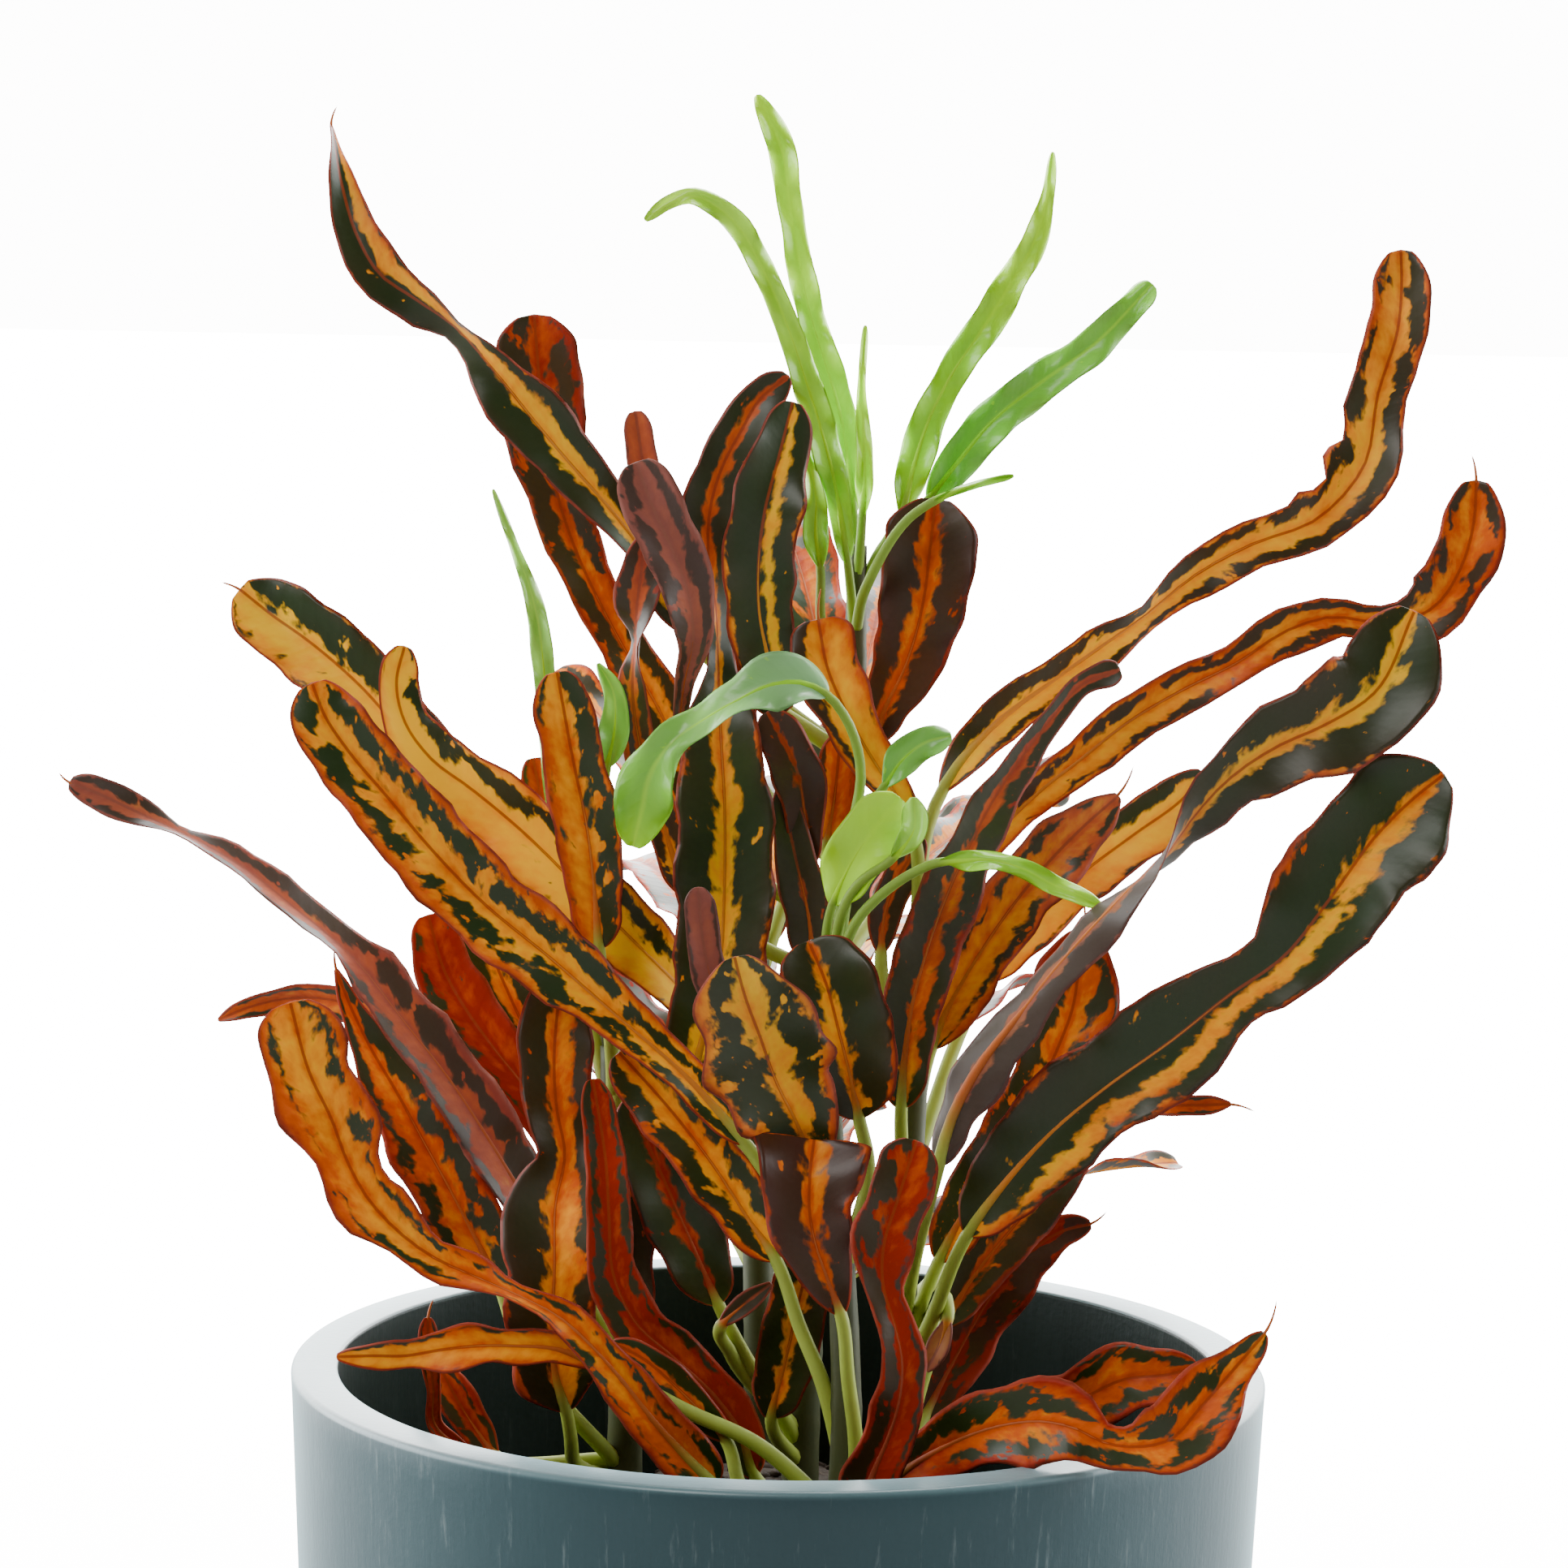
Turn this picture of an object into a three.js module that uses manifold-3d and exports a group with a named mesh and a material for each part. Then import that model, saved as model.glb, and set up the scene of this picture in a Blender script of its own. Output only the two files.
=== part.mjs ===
// Potted croton: a round cover pot filled with potting soil, five leafy stems that stand in plain
// holes in the soil, and three fresh green shoots. Millimetres, +Z up, origin at the centre of the
// pot's flat base. The viewer stands at -Y.

import * as THREE from 'three';
import { mergeVertices } from 'three/addons/utils/BufferGeometryUtils.js';
import Module from 'manifold-3d';

const wasm = await Module();
wasm.setup();

// Pot
const POT_HEIGHT = 150;
const RIM_RADIUS = 80;
const BASE_RADIUS = 73.7;
const RIM_WALL = 7.7;
const FLOOR_THICKNESS = 8;
const FOOT_BEVEL = 1.5;
const RIM_BEVEL = 0.5;
const ROUND_SIDES = 48;

// Soil: a root ball that stands a little higher in the middle than at the wall
const CLEARANCE = 0.3;
const SOIL_TOP = [[0, 130], [14, 129], [30, 126], [48, 120], [62, 114.5]];
const SOIL_AT_WALL = 112.5;
const HOLE_SIDES = 12;

// Stems: a root end in the soil, then the path of the axis; radius at the root and at the top
const STEM_FOOT = 88;
const STEM_SIDES = 7;
const STEMS = {
  leafy_stem_tall: {
    radius: [3.6, 2.3],
    path: [[4, 8, 136], [5, 8, 175], [7, 8, 215], [9.5, 8, 245], [10.3, 8, 263]],
  },
  leafy_stem_left: {
    radius: [3.6, 2.2],
    path: [[-25, -2, 136], [-25.5, -2, 160], [-27, -1, 185], [-28, 0, 203]],
  },
  leafy_stem_right: {
    radius: [3.4, 2.2],
    path: [[20, -4, 136], [20, -4, 165], [21, -2, 190], [22, 0, 214]],
  },
  leafy_stem_front: {
    radius: [3.4, 2.2],
    path: [[11, -31, 136], [11, -31, 150], [10, -29, 170], [8.5, -26, 186]],
  },
  leafy_stem_back: {
    radius: [3.4, 2.2],
    path: [[-3, 36, 136], [-4, 38, 165], [-5, 41, 195], [-5, 43, 225]],
  },
};

// Green shoots: each stands on the cut-off top of a leafy stem
const SHOOT_SIDES = 6;
const SHOOTS = {
  green_shoot_top: {
    radius: [2.1, 1.5],
    path: [[10.3, 8, 263.4], [10.4, 8, 270], [10.4, 8, 277], [10.6, 8, 285]],
  },
  green_shoot_front: {
    radius: [2.0, 1.7],
    path: [[8.4, -26, 186.4], [7.6, -25.5, 198], [6.4, -25, 210], [6.6, -25, 221]],
  },
  green_shoot_left: {
    radius: [1.8, 1.2],
    path: [[-28, 0, 203.4], [-30, 1, 212], [-32, 2, 222], [-33, 3, 231]],
  },
};

// Leaves
const BLADE_HALF_THICKNESS = 0.36;
const RIB_HALF_THICKNESS = 0.62;
const STALK_HALF = 1.5;
const SHOOT_STALK_HALF = 0.9;
const FOLD = 0.3;
const WAVE_LENGTH = 27;
const BASE_LENGTH = 6;
const TIP_WIDTH = 0.5;
const TIP_BLUNT = 0.06;
const STATION_GAP = 2.5;
const STALK_STEP = 14;

// Leaf places are given as they are seen from an eye 1 m in front of the pot's axis: across and up
// on the upright plane through the axis, and how far the point stands toward the eye.
const EYE = new THREE.Vector3(0, -1000, 398);

// One row a leaf: its name; the height at which its stalk leaves the stem; points that the stalk
// passes [across, up, toward]; [size of the edge waves, length of the rounded tip]; and the blade's
// stations from its base to its tip [across, up, toward, roll in degrees, half width]. At roll 0
// the upper face looks at the eye, and a positive roll turns it to the right of the way it grows.
const LEAVES = {
  leafy_stem_tall: [
    ["sky_left", 250, [], [0.5, 6],
      [[-17, 271.5, 0, 20, 3.2], [-22.5, 281.5, 2, 20, 3.6], [-30, 291.3, 5, 15, 3.8], [-36, 298, 7, 10, 5],
        [-42, 305, 8, 0, 5.6], [-48, 312.5, 9, -20, 4.6], [-54.8, 320.1, 9, -50, 3.8], [-61.5, 324.6, 9, -30, 3.7],
        [-67.3, 328.4, 9, 0, 4.5], [-70.5, 333.5, 8, 10, 3.7], [-73.5, 342.5, 6, 30, 2.6],
        [-75.2, 352, 4, 40, 1.2]]],
    ["behind_sky_left", 205, [], [0.5, 5],
      [[-7, 218, -14, 0, 3.6], [-11, 232, -15, 0, 4.8], [-15.5, 246.5, -15, 0, 5.2], [-21, 258, -14, 0, 5],
        [-26.3, 267, -13, 10, 4.4], [-31, 275.5, -12, 10, 4.1], [-34.8, 283.5, -12, 0, 4.6],
        [-38, 292.5, -11, 0, 5.1], [-40, 301.5, -11, 0, 6.8], [-41.2, 310.5, -10, 0, 7.4], [-42.3, 322.3, -9, 0, 6]]],
    ["amber_tip", 250, [], [0, 4],
      [[-12, 270, -6, 0, 2], [-18.5, 284, -6, 0, 2.5], [-23.5, 295, -6, 0, 2.7], [-25.9, 307, -6, 0, 2.5]]],
    ["dusky_pink", 222, [], [0.3, 5],
      [[-12, 238, -2, 0, 2], [-15.5, 248, 0, 0, 1.8], [-17.8, 256, 3, 10, 1.6], [-17.4, 262.5, 8, 20, 1.6],
        [-16, 270.5, 12, 15, 3], [-16.8, 277, 13, 15, 4.6], [-19.3, 284, 13, 10, 5], [-22.4, 290.6, 13, 5, 5.1],
        [-25.6, 298.8, 12, 0, 4.8]]],
    ["twisted_dark", 213, [], [0, 4],
      [[-15.5, 228, -2, 0, 2.6], [-21, 242, 2, 0, 3], [-24.6, 254, 5, 0, 2.9], [-25.6, 262, 7, -10, 2.4],
        [-24.9, 269.5, 8, -70, 2.2], [-25, 275.5, 9, -20, 3.6], [-24.6, 280, 9, 0, 4], [-24, 287.2, 9, 10, 2]]],
    ["yellow_band", 240, [], [0.4, 6],
      [[-2, 258, 1, 0, 4.2], [-3.6, 266.5, 4, 0, 5], [-5.4, 275, 7, 5, 5.8], [-5.6, 283, 9, 5, 6.1],
        [-4.7, 291.5, 10, 5, 6.1], [-2.8, 299.5, 9, 10, 5.4], [-0.6, 309, 8, 15, 3.8]]],
    ["dark_curl", 232, [], [0, 3],
      [[-6, 249, -1, 0, 2.8], [-8.8, 258.5, -2, 0, 3.6], [-8.6, 265.5, -1, 10, 3.8], [-7, 270.4, -1, 20, 3.6],
        [-3.4, 272.6, 0, 20, 2.8]]],
    ["brown_spatula", 240, [], [0.3, 6],
      [[13.3, 253, -8, 0, 2.4], [15.4, 259.5, -7, 0, 4], [18.1, 265.5, -6, 0, 5.6], [20, 271.5, -5, 0, 6.7],
        [21.3, 278, -4, 0, 7.5], [22, 285, -4, 0, 8], [22.8, 293.7, -5, 0, 6.6]]],
    ["yellow_lower", 190, [], [0.6, 4],
      [[-8, 203, -3, 20, 3.6], [-16, 211.5, 5, 20, 4.8], [-25, 220.5, 10, 10, 5.8], [-34, 229.3, 12, 0, 6.3],
        [-43, 238, 13, 0, 6.6], [-51.5, 245, 13, -5, 6], [-58.3, 250, 12, 0, 5.1], [-62.8, 256.3, 11, 20, 4.2],
        [-64, 262.3, 10, 25, 3.4], [-62.7, 268.3, 9, 20, 2.6]]],
    ["brown_centre", 222, [], [0, 4],
      [[3.2, 233, 1, 0, 2.4], [2.7, 241, 4, 0, 3.4], [1.4, 248.5, 6, 0, 4.4], [-3.8, 258.6, 6, 0, 3.4]]],
    ["orange_centre", 226, [], [0, 4],
      [[6.4, 237, -3, 0, 2.8], [7.4, 244.5, -3, 0, 3.6], [8.2, 255, -4, 0, 3.2]]],
    ["blue_centre", 205, [], [0, 5],
      [[4.6, 217, 1, 0, 3.4], [3.4, 226, 3, 0, 4.2], [1.2, 235, 4, 0, 3.6], [-1.3, 246.5, 4, 0, 2]]],
    ["low_olive", 131, [], [0.3, 4],
      [[-1, 141, 4, 0, 3], [0.8, 149, 8, 0, 5], [3, 160, 11, 0, 5.2], [5, 170, 12, 0, 4.6],
        [5.6, 176, 12, 0, 3.4]]],
    ["low_red_band", 134, [], [0.3, 4],
      [[-10, 160, 12, 0, 3.2], [-14, 169, 14, 5, 6], [-18.5, 179, 14, 5, 6.4], [-22.5, 188, 12, 5, 5.4],
        [-25, 194.5, 11, 5, 3.6]]],
    ["low_blue_curl", 136, [[-8, 152, 10]], [0, 4],
      [[-9.5, 156.5, 17, 0, 1.4], [-6, 160, 19, 0, 1.9], [-1.4, 163.8, 20, 10, 1.3]]],
  ],
  leafy_stem_left: [
    ["round_left", 180, [[-27, 197, 6], [-26.5, 207, 9]], [0.4, 6],
      [[-35, 220, 8, 0, 4], [-47.5, 235, 5, 0, 5.8], [-59, 249, 2, 0, 6.3], [-70, 261.8, -1, 0, 6.8],
        [-78, 268.6, -3, 0, 7], [-84.3, 273, -5, 0, 6.4], [-89.4, 277, -6, 0, 5]]],
    ["orange_upright", 190, [[-28.5, 206, 13]], [0.3, 5],
      [[-30.5, 219, 20, 0, 3.6], [-31.4, 229.5, 21, 0, 4.8], [-33, 240.5, 22, 0, 5.6], [-35.2, 250.5, 22, 0, 5.2],
        [-37.9, 264.5, 22, 0, 4.6]]],
    ["long_left", 150, [], [0.3, 4],
      [[-34, 164, 8, 25, 4], [-41, 175, 13, 30, 5.6], [-47.6, 186, 17, 30, 6], [-54.6, 196.6, 20, 30, 6],
        [-62.2, 206.2, 22, 35, 6], [-71.2, 217.2, 23, 48, 4.9], [-80.2, 224.6, 24, 52, 4.2],
        [-89.8, 232, 25, 55, 3.6], [-98.6, 236.5, 26, 55, 2.4], [-106.6, 240.4, 26, 25, 2.8],
        [-113, 243.4, 26, 10, 2.8], [-117, 244.8, 26, 10, 2.2]]],
    ["far_left", 168, [], [0.2, 4],
      [[-40, 178, -38, 0, 2.2], [-50, 191, -46, -10, 3], [-66, 207.2, -56, -30, 3.6],
        [-74.5, 210, -58, -30, 3.3], [-81.8, 209.9, -60, -30, 3.1], [-88, 208.2, -60, -20, 2],
        [-92.6, 206, -60, 0, 0.8]]],
    ["streaked_left", 132, [[-40, 149, 14], [-43.5, 155, 13]], [0.4, 5],
      [[-45.5, 161, 12, 0, 3], [-48.8, 168, 11, 0, 5.4], [-53, 176, 11, 0, 6.2], [-58.5, 186, 12, 0, 6.4],
        [-63.5, 195, 13, 5, 5.4], [-67.8, 202.3, 13, 5, 3.6], [-70.9, 208.6, 14, 10, 2],
        [-73.4, 215, 14, 10, 0.8]]],
    ["red_behind", 160, [], [0.3, 5],
      [[-32.5, 179.5, 4, 0, 3], [-37.6, 188.5, 3, 0, 3.7], [-42.6, 196.2, 2, 0, 4.8], [-47.4, 202.2, 1, 0, 5.2],
        [-51.8, 208.2, -1, 0, 5.4], [-55.4, 214.4, -3, 0, 5.2], [-58.4, 224.2, -5, 0, 3.8]]],
    ["dark_behind", 166, [], [0.2, 5],
      [[-33, 186, -8, 0, 3], [-38.5, 198, -10, 0, 4.6], [-44.5, 210, -12, 0, 5.4], [-49, 221, -14, 0, 4.8],
        [-50.5, 227, -14, 0, 3.6]]],
    ["wavy_upright", 130, [[-33.4, 133, 12], [-34, 137, 17]], [0.9, 5],
      [[-34.8, 141.5, 19, 0, 3.4], [-36.6, 147.5, 20, 0, 7], [-37.2, 156, 21, -5, 7.4],
        [-37, 166, 22, -10, 8.1], [-37, 176, 22, -10, 8.6], [-35.6, 185, 22, 0, 4.8], [-37, 192, 21, 5, 5.6],
        [-37.6, 200, 20, 5, 6.2], [-37.2, 207.5, 18, 0, 6], [-36.4, 215, 15, 0, 4]]],
    ["tall_twist", 158, [[-22.5, 178, 5]], [0.3, 3.5],
      [[-16.4, 192, 9, 5, 3], [-13.6, 203.5, 10, 5, 6.2], [-10.8, 216, 11, 0, 7.6],
        [-10.2, 229.5, 11, 0, 8.3], [-10.4, 243, 9, 0, 8], [-11.3, 256, 7, 0, 6.2], [-12, 266, 5, 40, 3.6],
        [-12.6, 275, 4, 60, 3.6], [-13.9, 284, 4, 30, 4], [-13.6, 291, 5, 0, 4.6], [-11.6, 298.5, 5, 0, 4.4],
        [-8.8, 304, 5, 0, 4], [-6, 309, 4, 0, 3.6], [-1.2, 313.2, 4, 0, 2.2]]],
    ["small_red", 188, [[-32, 210, -4]], [0, 4],
      [[-35.5, 226, -12, 0, 2.6], [-38.5, 236, -13, 0, 3.4], [-41.6, 250.3, -14, 0, 3]]],
    ["low_small", 134, [], [0, 3],
      [[-50.5, 134, 8, 0, 1.6], [-56.6, 139, 12, 20, 1.6], [-56.9, 145, 15, 30, 1.4],
        [-57.6, 151, 17, 10, 1.8], [-57.8, 157, 17, 0, 1.6]]],
    ["low_small_dark", 133, [], [0, 3.5],
      [[-46, 133.5, 0, 0, 2], [-49.5, 138, -1, 0, 3], [-53, 143.5, -2, 0, 3.4], [-55.6, 148.5, -3, 0, 2.6]]],
    ["low_dark_fill", 140, [], [0.3, 5],
      [[-23.5, 156, 14, 0, 3.6], [-25.5, 166, 13, 0, 5], [-26, 178, 12, 0, 5], [-25.5, 191, 9, 0, 3.6]]],
  ],
  leafy_stem_right: [
    ["sky_right", 210, [[21.5, 230, 0], [22.2, 238, -3]], [0.8, 5],
      [[24.6, 245.6, -6, 0, 1.7], [29.3, 252.9, -7, 0, 3.5], [35.5, 259.4, -8, 5, 4.2],
        [42.3, 264.5, -9, 15, 4], [49.6, 270, -10, 30, 3.8], [57, 275.6, -11, 35, 3.6],
        [64.2, 281.7, -12, 20, 4.1], [73.9, 287.3, -13, 10, 4.3], [84.3, 291.6, -14, 5, 5],
        [91.6, 300.3, -15, 0, 5.9], [93.5, 312, -16, 0, 5], [96.4, 322.9, -17, 0, 5.3],
        [96.7, 330, -18, 0, 4.8], [96.4, 335.2, -18, 0, 4]]],
    ["curl_right", 198, [], [0.4, 5.5],
      [[24.5, 228, 0, 20, 2.6], [31, 236.5, 1, 20, 3.2], [38.8, 244.8, 2, 20, 3.4], [47, 251.6, 3, 15, 3.8],
        [55, 258.2, 4, 10, 4.3], [63.4, 263.4, 5, 5, 4.1], [71.8, 267.8, 6, 5, 3.5],
        [80.4, 273.6, 7, 10, 4.3], [87, 275.8, 8, 20, 4], [94, 275.2, 9, 30, 3.3], [99.3, 275.4, 10, 15, 4],
        [103.8, 277.8, 10, 0, 5.5], [108, 284.6, 11, -5, 5.6], [109.6, 291.5, 11, 0, 5.1],
        [109.8, 298.4, 11, 0, 4.4]]],
    ["front_right", 157, [[22.5, 171, 24]], [0.4, 7],
      [[25.6, 184, 34, 160, 2.8], [27.4, 191, 35, 155, 3.7], [31.6, 200, 37, 150, 4.9], [38, 208.9, 39, 145, 4.4],
        [44.3, 217.4, 40, 140, 4.1], [50.2, 224.4, 41, 130, 4.3], [56.2, 230.9, 42, 115, 4.6],
        [61.2, 236.4, 42, 85, 4.6], [65.8, 243, 43, 45, 5], [71.6, 249.3, 44, 20, 5.6], [78.9, 254.4, 44, 10, 6.8],
        [86.8, 258.2, 44, 5, 8.4], [94.2, 263.2, 43, 5, 8.8], [100.6, 277, 41, 0, 6]]],
    ["spatula_right", 148, [[25, 158, 18]], [0.6, 7],
      [[30.6, 172.5, 26, 0, 3], [35.6, 180, 29, 0, 6.2], [43, 189, 32, 0, 7.8], [53, 197.8, 35, 0, 8.5],
        [63.5, 205.8, 38, 0, 8.6], [72.2, 213.2, 40, 10, 6.5], [81, 219.8, 42, 5, 6.4],
        [88.5, 229.8, 43, 0, 9.8], [95.8, 240.4, 43, 0, 10], [101.5, 246.4, 42, 0, 8.6],
        [106.3, 250.4, 42, 0, 6]]],
    ["knob_right", 168, [[19.6, 185, 8]], [0.2, 3],
      [[19.3, 193.5, 13, 0, 3.2], [19.7, 201.5, 15, 0, 4.4], [20.6, 210, 16, 0, 5], [22.7, 219, 17, 10, 5.5],
        [25.8, 228.5, 18, 15, 5.4], [29.5, 237.5, 19, 25, 4.8], [33.7, 246, 19, 35, 4.2], [38.2, 253, 19, 40, 3.2],
        [42.6, 259, 19, 35, 2.5], [46.8, 263.8, 18, 10, 2], [53.3, 266.6, 17, 0, 2.7]]],
    ["yellow_right", 186, [], [0.5, 4],
      [[24, 203.5, 0, 0, 3], [27.3, 211.5, 0, 0, 5.2], [31.8, 219.8, 1, 0, 5.4], [37.6, 228.6, 2, 0, 5.6],
        [43.2, 235.6, 3, 0, 5.8], [47.8, 240.6, 3, 10, 4.8], [53.5, 246, 3, 20, 2]]],
    ["yellow_right_behind", 182, [], [0.4, 4],
      [[33, 215, -16, 0, 3], [40, 225, -18, 0, 4.8], [47.5, 232.6, -20, 0, 5.2], [56.3, 239.6, -22, 0, 5.4],
        [64, 245.6, -24, 0, 4.6], [67.5, 249.8, -24, 0, 3.4]]],
    ["folded_orange", 211, [[21.5, 226, 4]], [0.3, 3],
      [[20.3, 239, 8, 0, 2.2], [17.6, 245, 9, 0, 3], [14.2, 250, 10, 0, 3.7], [11.2, 254.8, 10, 0, 4.4],
        [8.4, 260, 10, 0, 5.1], [6, 265.5, 9, 0, 5.7], [4.2, 273.8, 7, 0, 5.6]]],
    ["orange_right", 138, [[21, 152, 8]], [0.5, 6],
      [[26, 168, 10, 0, 3.4], [31, 178, 12, 0, 5], [36.3, 187.3, 13, 0, 5.4], [41, 195.6, 14, 0, 5.4],
        [44.6, 203.8, 14, 0, 6], [47, 211, 13, 0, 7.4], [47.8, 217.5, 12, 0, 6.6], [48.6, 223.6, 12, 0, 5]]],
    ["far_right", 160, [], [0.2, 3],
      [[40, 181, -40, 0, 2.2], [49, 190.5, -50, 10, 2.4], [58, 194.8, -55, 10, 2.2],
        [65.5, 194.9, -58, 10, 1.9], [70, 195, -58, 0, 1.7], [73.3, 195.2, -58, 0, 0.9]]],
    ["olive_right", 134, [], [0.3, 4],
      [[27, 157, -2, 0, 3], [32.5, 166.5, -4, 0, 4.6], [38.5, 174.5, -5, 0, 5.2], [44.3, 182, -6, 0, 4.8],
        [48.6, 188, -7, 0, 3.2], [51.2, 191.5, -7, 0, 2.2]]],
    ["dark_red_right", 131, [], [0.4, 3.5],
      [[24, 141, -8, 0, 3.2], [28, 149.5, -12, 5, 4.8], [32, 157.5, -14, 5, 5.4], [36.5, 164.8, -15, 5, 5.6],
        [41.5, 170.3, -16, 0, 4.6], [46.3, 173.5, -16, 0, 2.9], [50.9, 174.7, -16, 0, 2]]],
    ["rim_behind_right", 130, [], [0.4, 4],
      [[31, 139, 8, 0, 3], [40, 142, 12, 0, 4.6], [49, 144.8, 16, 0, 5.4], [57.5, 148.8, 19, 0, 6],
        [64, 149.6, 20, 0, 4.6], [69, 151, 20, 0, 3]]],
    ["dark_nook", 196, [], [0, 4],
      [[15.5, 219, 2, 0, 2], [16.4, 228, 3, 20, 3.2], [21.6, 238.5, 3, 20, 2.6]]],
    ["dry_husk", 146, [[27.4, 161.5, 16]], [0, 3],
      [[27.7, 158.5, 20, 0, 1.6], [26.6, 154, 21, 30, 2.2], [24.4, 149.5, 20, 10, 1.4]]],
  ],
  leafy_stem_front: [
    ["big_front_left", 168, [], [0.5, 6],
      [[-6, 187, 27, 20, 2.6], [-14.5, 196.5, 28, 20, 3.6], [-24, 205, 28, 15, 4.2], [-31, 211, 28, 10, 5],
        [-38, 217, 29, 5, 6.7], [-50, 226.8, 30, 0, 6.9], [-58.7, 235.8, 31, 0, 7.2],
        [-65.5, 243.8, 32, 0, 6.7], [-71.6, 250.9, 32, 0, 6.4], [-75.4, 256.5, 32, 0, 5.9],
        [-77.6, 262, 32, 0, 5]]],
    ["mottled_front", 172, [], [0.6, 5],
      [[5.3, 183.5, 36, 0, 3], [2.6, 190, 41, 0, 6.4], [-1.2, 197.5, 45, 0, 9.4], [-4, 205, 49, 0, 10.6],
        [-6.6, 211.8, 52, 0, 8.2], [-8.4, 218.2, 53, 0, 5.6]]],
    ["pink_tip", 175, [], [0, 3],
      [[-8.5, 202, 32, 0, 2], [-11, 210, 34, 10, 2.7], [-13, 217.5, 36, 10, 3], [-14, 223.5, 37, 10, 2.9],
        [-14.4, 229.6, 38, 0, 2.2]]],
    ["dark_shield", 172, [[14, 185, 30]], [0.4, 3],
      [[12.5, 191.5, 31, 0, 4], [10.9, 198.5, 33, 0, 8], [8.9, 206, 34, 0, 8.8], [6.6, 214, 34, 5, 8.2],
        [3.6, 221, 32, 10, 5.4]]],
    ["front_brown_red", 127, [[13, 137, 42], [11.5, 148, 44]], [0.2, 1.5],
      [[10.2, 158.5, 45, 0, 2.2], [8, 164.3, 46, 0, 4], [5.8, 170.3, 47, 0, 5.9], [4.6, 176.5, 47, 0, 7.4],
        [4.6, 182, 46, 0, 8.6], [5.2, 188, 43, 0, 9.8]]],
    ["front_red", 127, [], [0.3, 4],
      [[14, 124.5, 52, 0, 3.8], [15.8, 131.3, 53, 0, 5], [18.3, 138, 54, 0, 4.2], [20.1, 145, 55, 0, 4.2],
        [20.3, 151, 55, 10, 3.9], [18.8, 157.3, 55, 30, 3], [17, 163.2, 55, 10, 3.5], [16.9, 170.3, 55, 0, 5.1],
        [18.8, 177.3, 55, 0, 5.3], [22, 188.2, 54, 0, 4.6]]],
    ["diagonal_dark", 140, [[7, 148, 30], [3.4, 156.5, 28]], [0.4, 5],
      [[-0.6, 167.5, 26, 0, 3.2], [-5.4, 174.6, 25, 0, 4.8], [-11, 183, 24, 0, 5.6], [-18, 192, 22, 0, 5.8],
        [-27, 202, 19, 0, 4.6]]],
    ["long_orange_left", 126, [[-2, 122.5, 40]], [0.4, 6],
      [[-10, 129.5, 45, 0, 4.4], [-15.6, 135, 46, 0, 4.7], [-20.6, 140.4, 47, 0, 4.4], [-25.6, 146.7, 47, 0, 4],
        [-30.6, 152.4, 48, 10, 3.2], [-36.3, 157.3, 48, 40, 3], [-43, 160.7, 49, 45, 3.1], [-50, 163.8, 50, 30, 3.2],
        [-56.4, 166.7, 50, 10, 3.5], [-62.2, 170.8, 51, 0, 4.2], [-67.7, 176.6, 51, 0, 5.3],
        [-71.2, 182.8, 51, 0, 5.9], [-73.9, 190, 51, 0, 6.8], [-77.3, 197, 51, 0, 7.4], [-80.8, 209.4, 51, 0, 6.4]]],
    ["level_left", 132, [[-4, 137, 34], [-15, 142, 37]], [0.4, 4],
      [[-29.5, 149.5, 40, 0, 2], [-36.5, 152.1, 41, 0, 2.6], [-43, 152.4, 42, 0, 3], [-49.5, 152.3, 43, 0, 3.4],
        [-55.7, 151.5, 44, 0, 3.5], [-61.5, 150.4, 44, 0, 2.5], [-67, 150.3, 45, 0, 2.1], [-72.8, 150, 46, 0, 1.4]]],
    ["low_dark_front", 126, [[-5.8, 129, 34]], [0.2, 4],
      [[-8.2, 136.8, 33, 0, 2], [-12.4, 141.6, 34, 0, 2.9], [-17.2, 146.4, 35, 0, 3.1], [-22.2, 150.6, 36, 0, 2.8],
        [-27.4, 153.3, 36, 0, 2]]],
    ["low_red_front", 130, [], [0.3, 5],
      [[-3.5, 131, 24, 0, 2.8], [-6, 138.4, 26, 0, 3.8], [-10.6, 144.8, 27, 0, 4.4], [-17.3, 151, 28, 0, 4.6],
        [-23.8, 157, 29, 0, 4.6], [-27.4, 164.8, 29, 0, 4.2], [-28.2, 174, 29, 0, 3.8], [-28.8, 183, 28, 0, 3.5],
        [-31.2, 197.5, 27, 0, 2.6]]],
    ["rim_right", 127, [], [0.4, 2.5],
      [[17, 129, 48, 0, 3.6], [24, 134.5, 51, 0, 4.6], [30.5, 138.2, 54, 0, 5.2], [37, 140.5, 57, 0, 6.7],
        [43.5, 141.3, 59, 0, 7.1], [49, 140.3, 61, 5, 6.2], [54, 138, 62, 15, 3.9], [59.5, 137.4, 64, 15, 3.9],
        [65, 138.8, 66, 5, 6.6], [69.7, 144.2, 66, 0, 6.3], [74.4, 150, 64, 0, 4], [80, 157, 62, 0, 1.4]]],
  ],
  leafy_stem_back: [],
};

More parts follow.
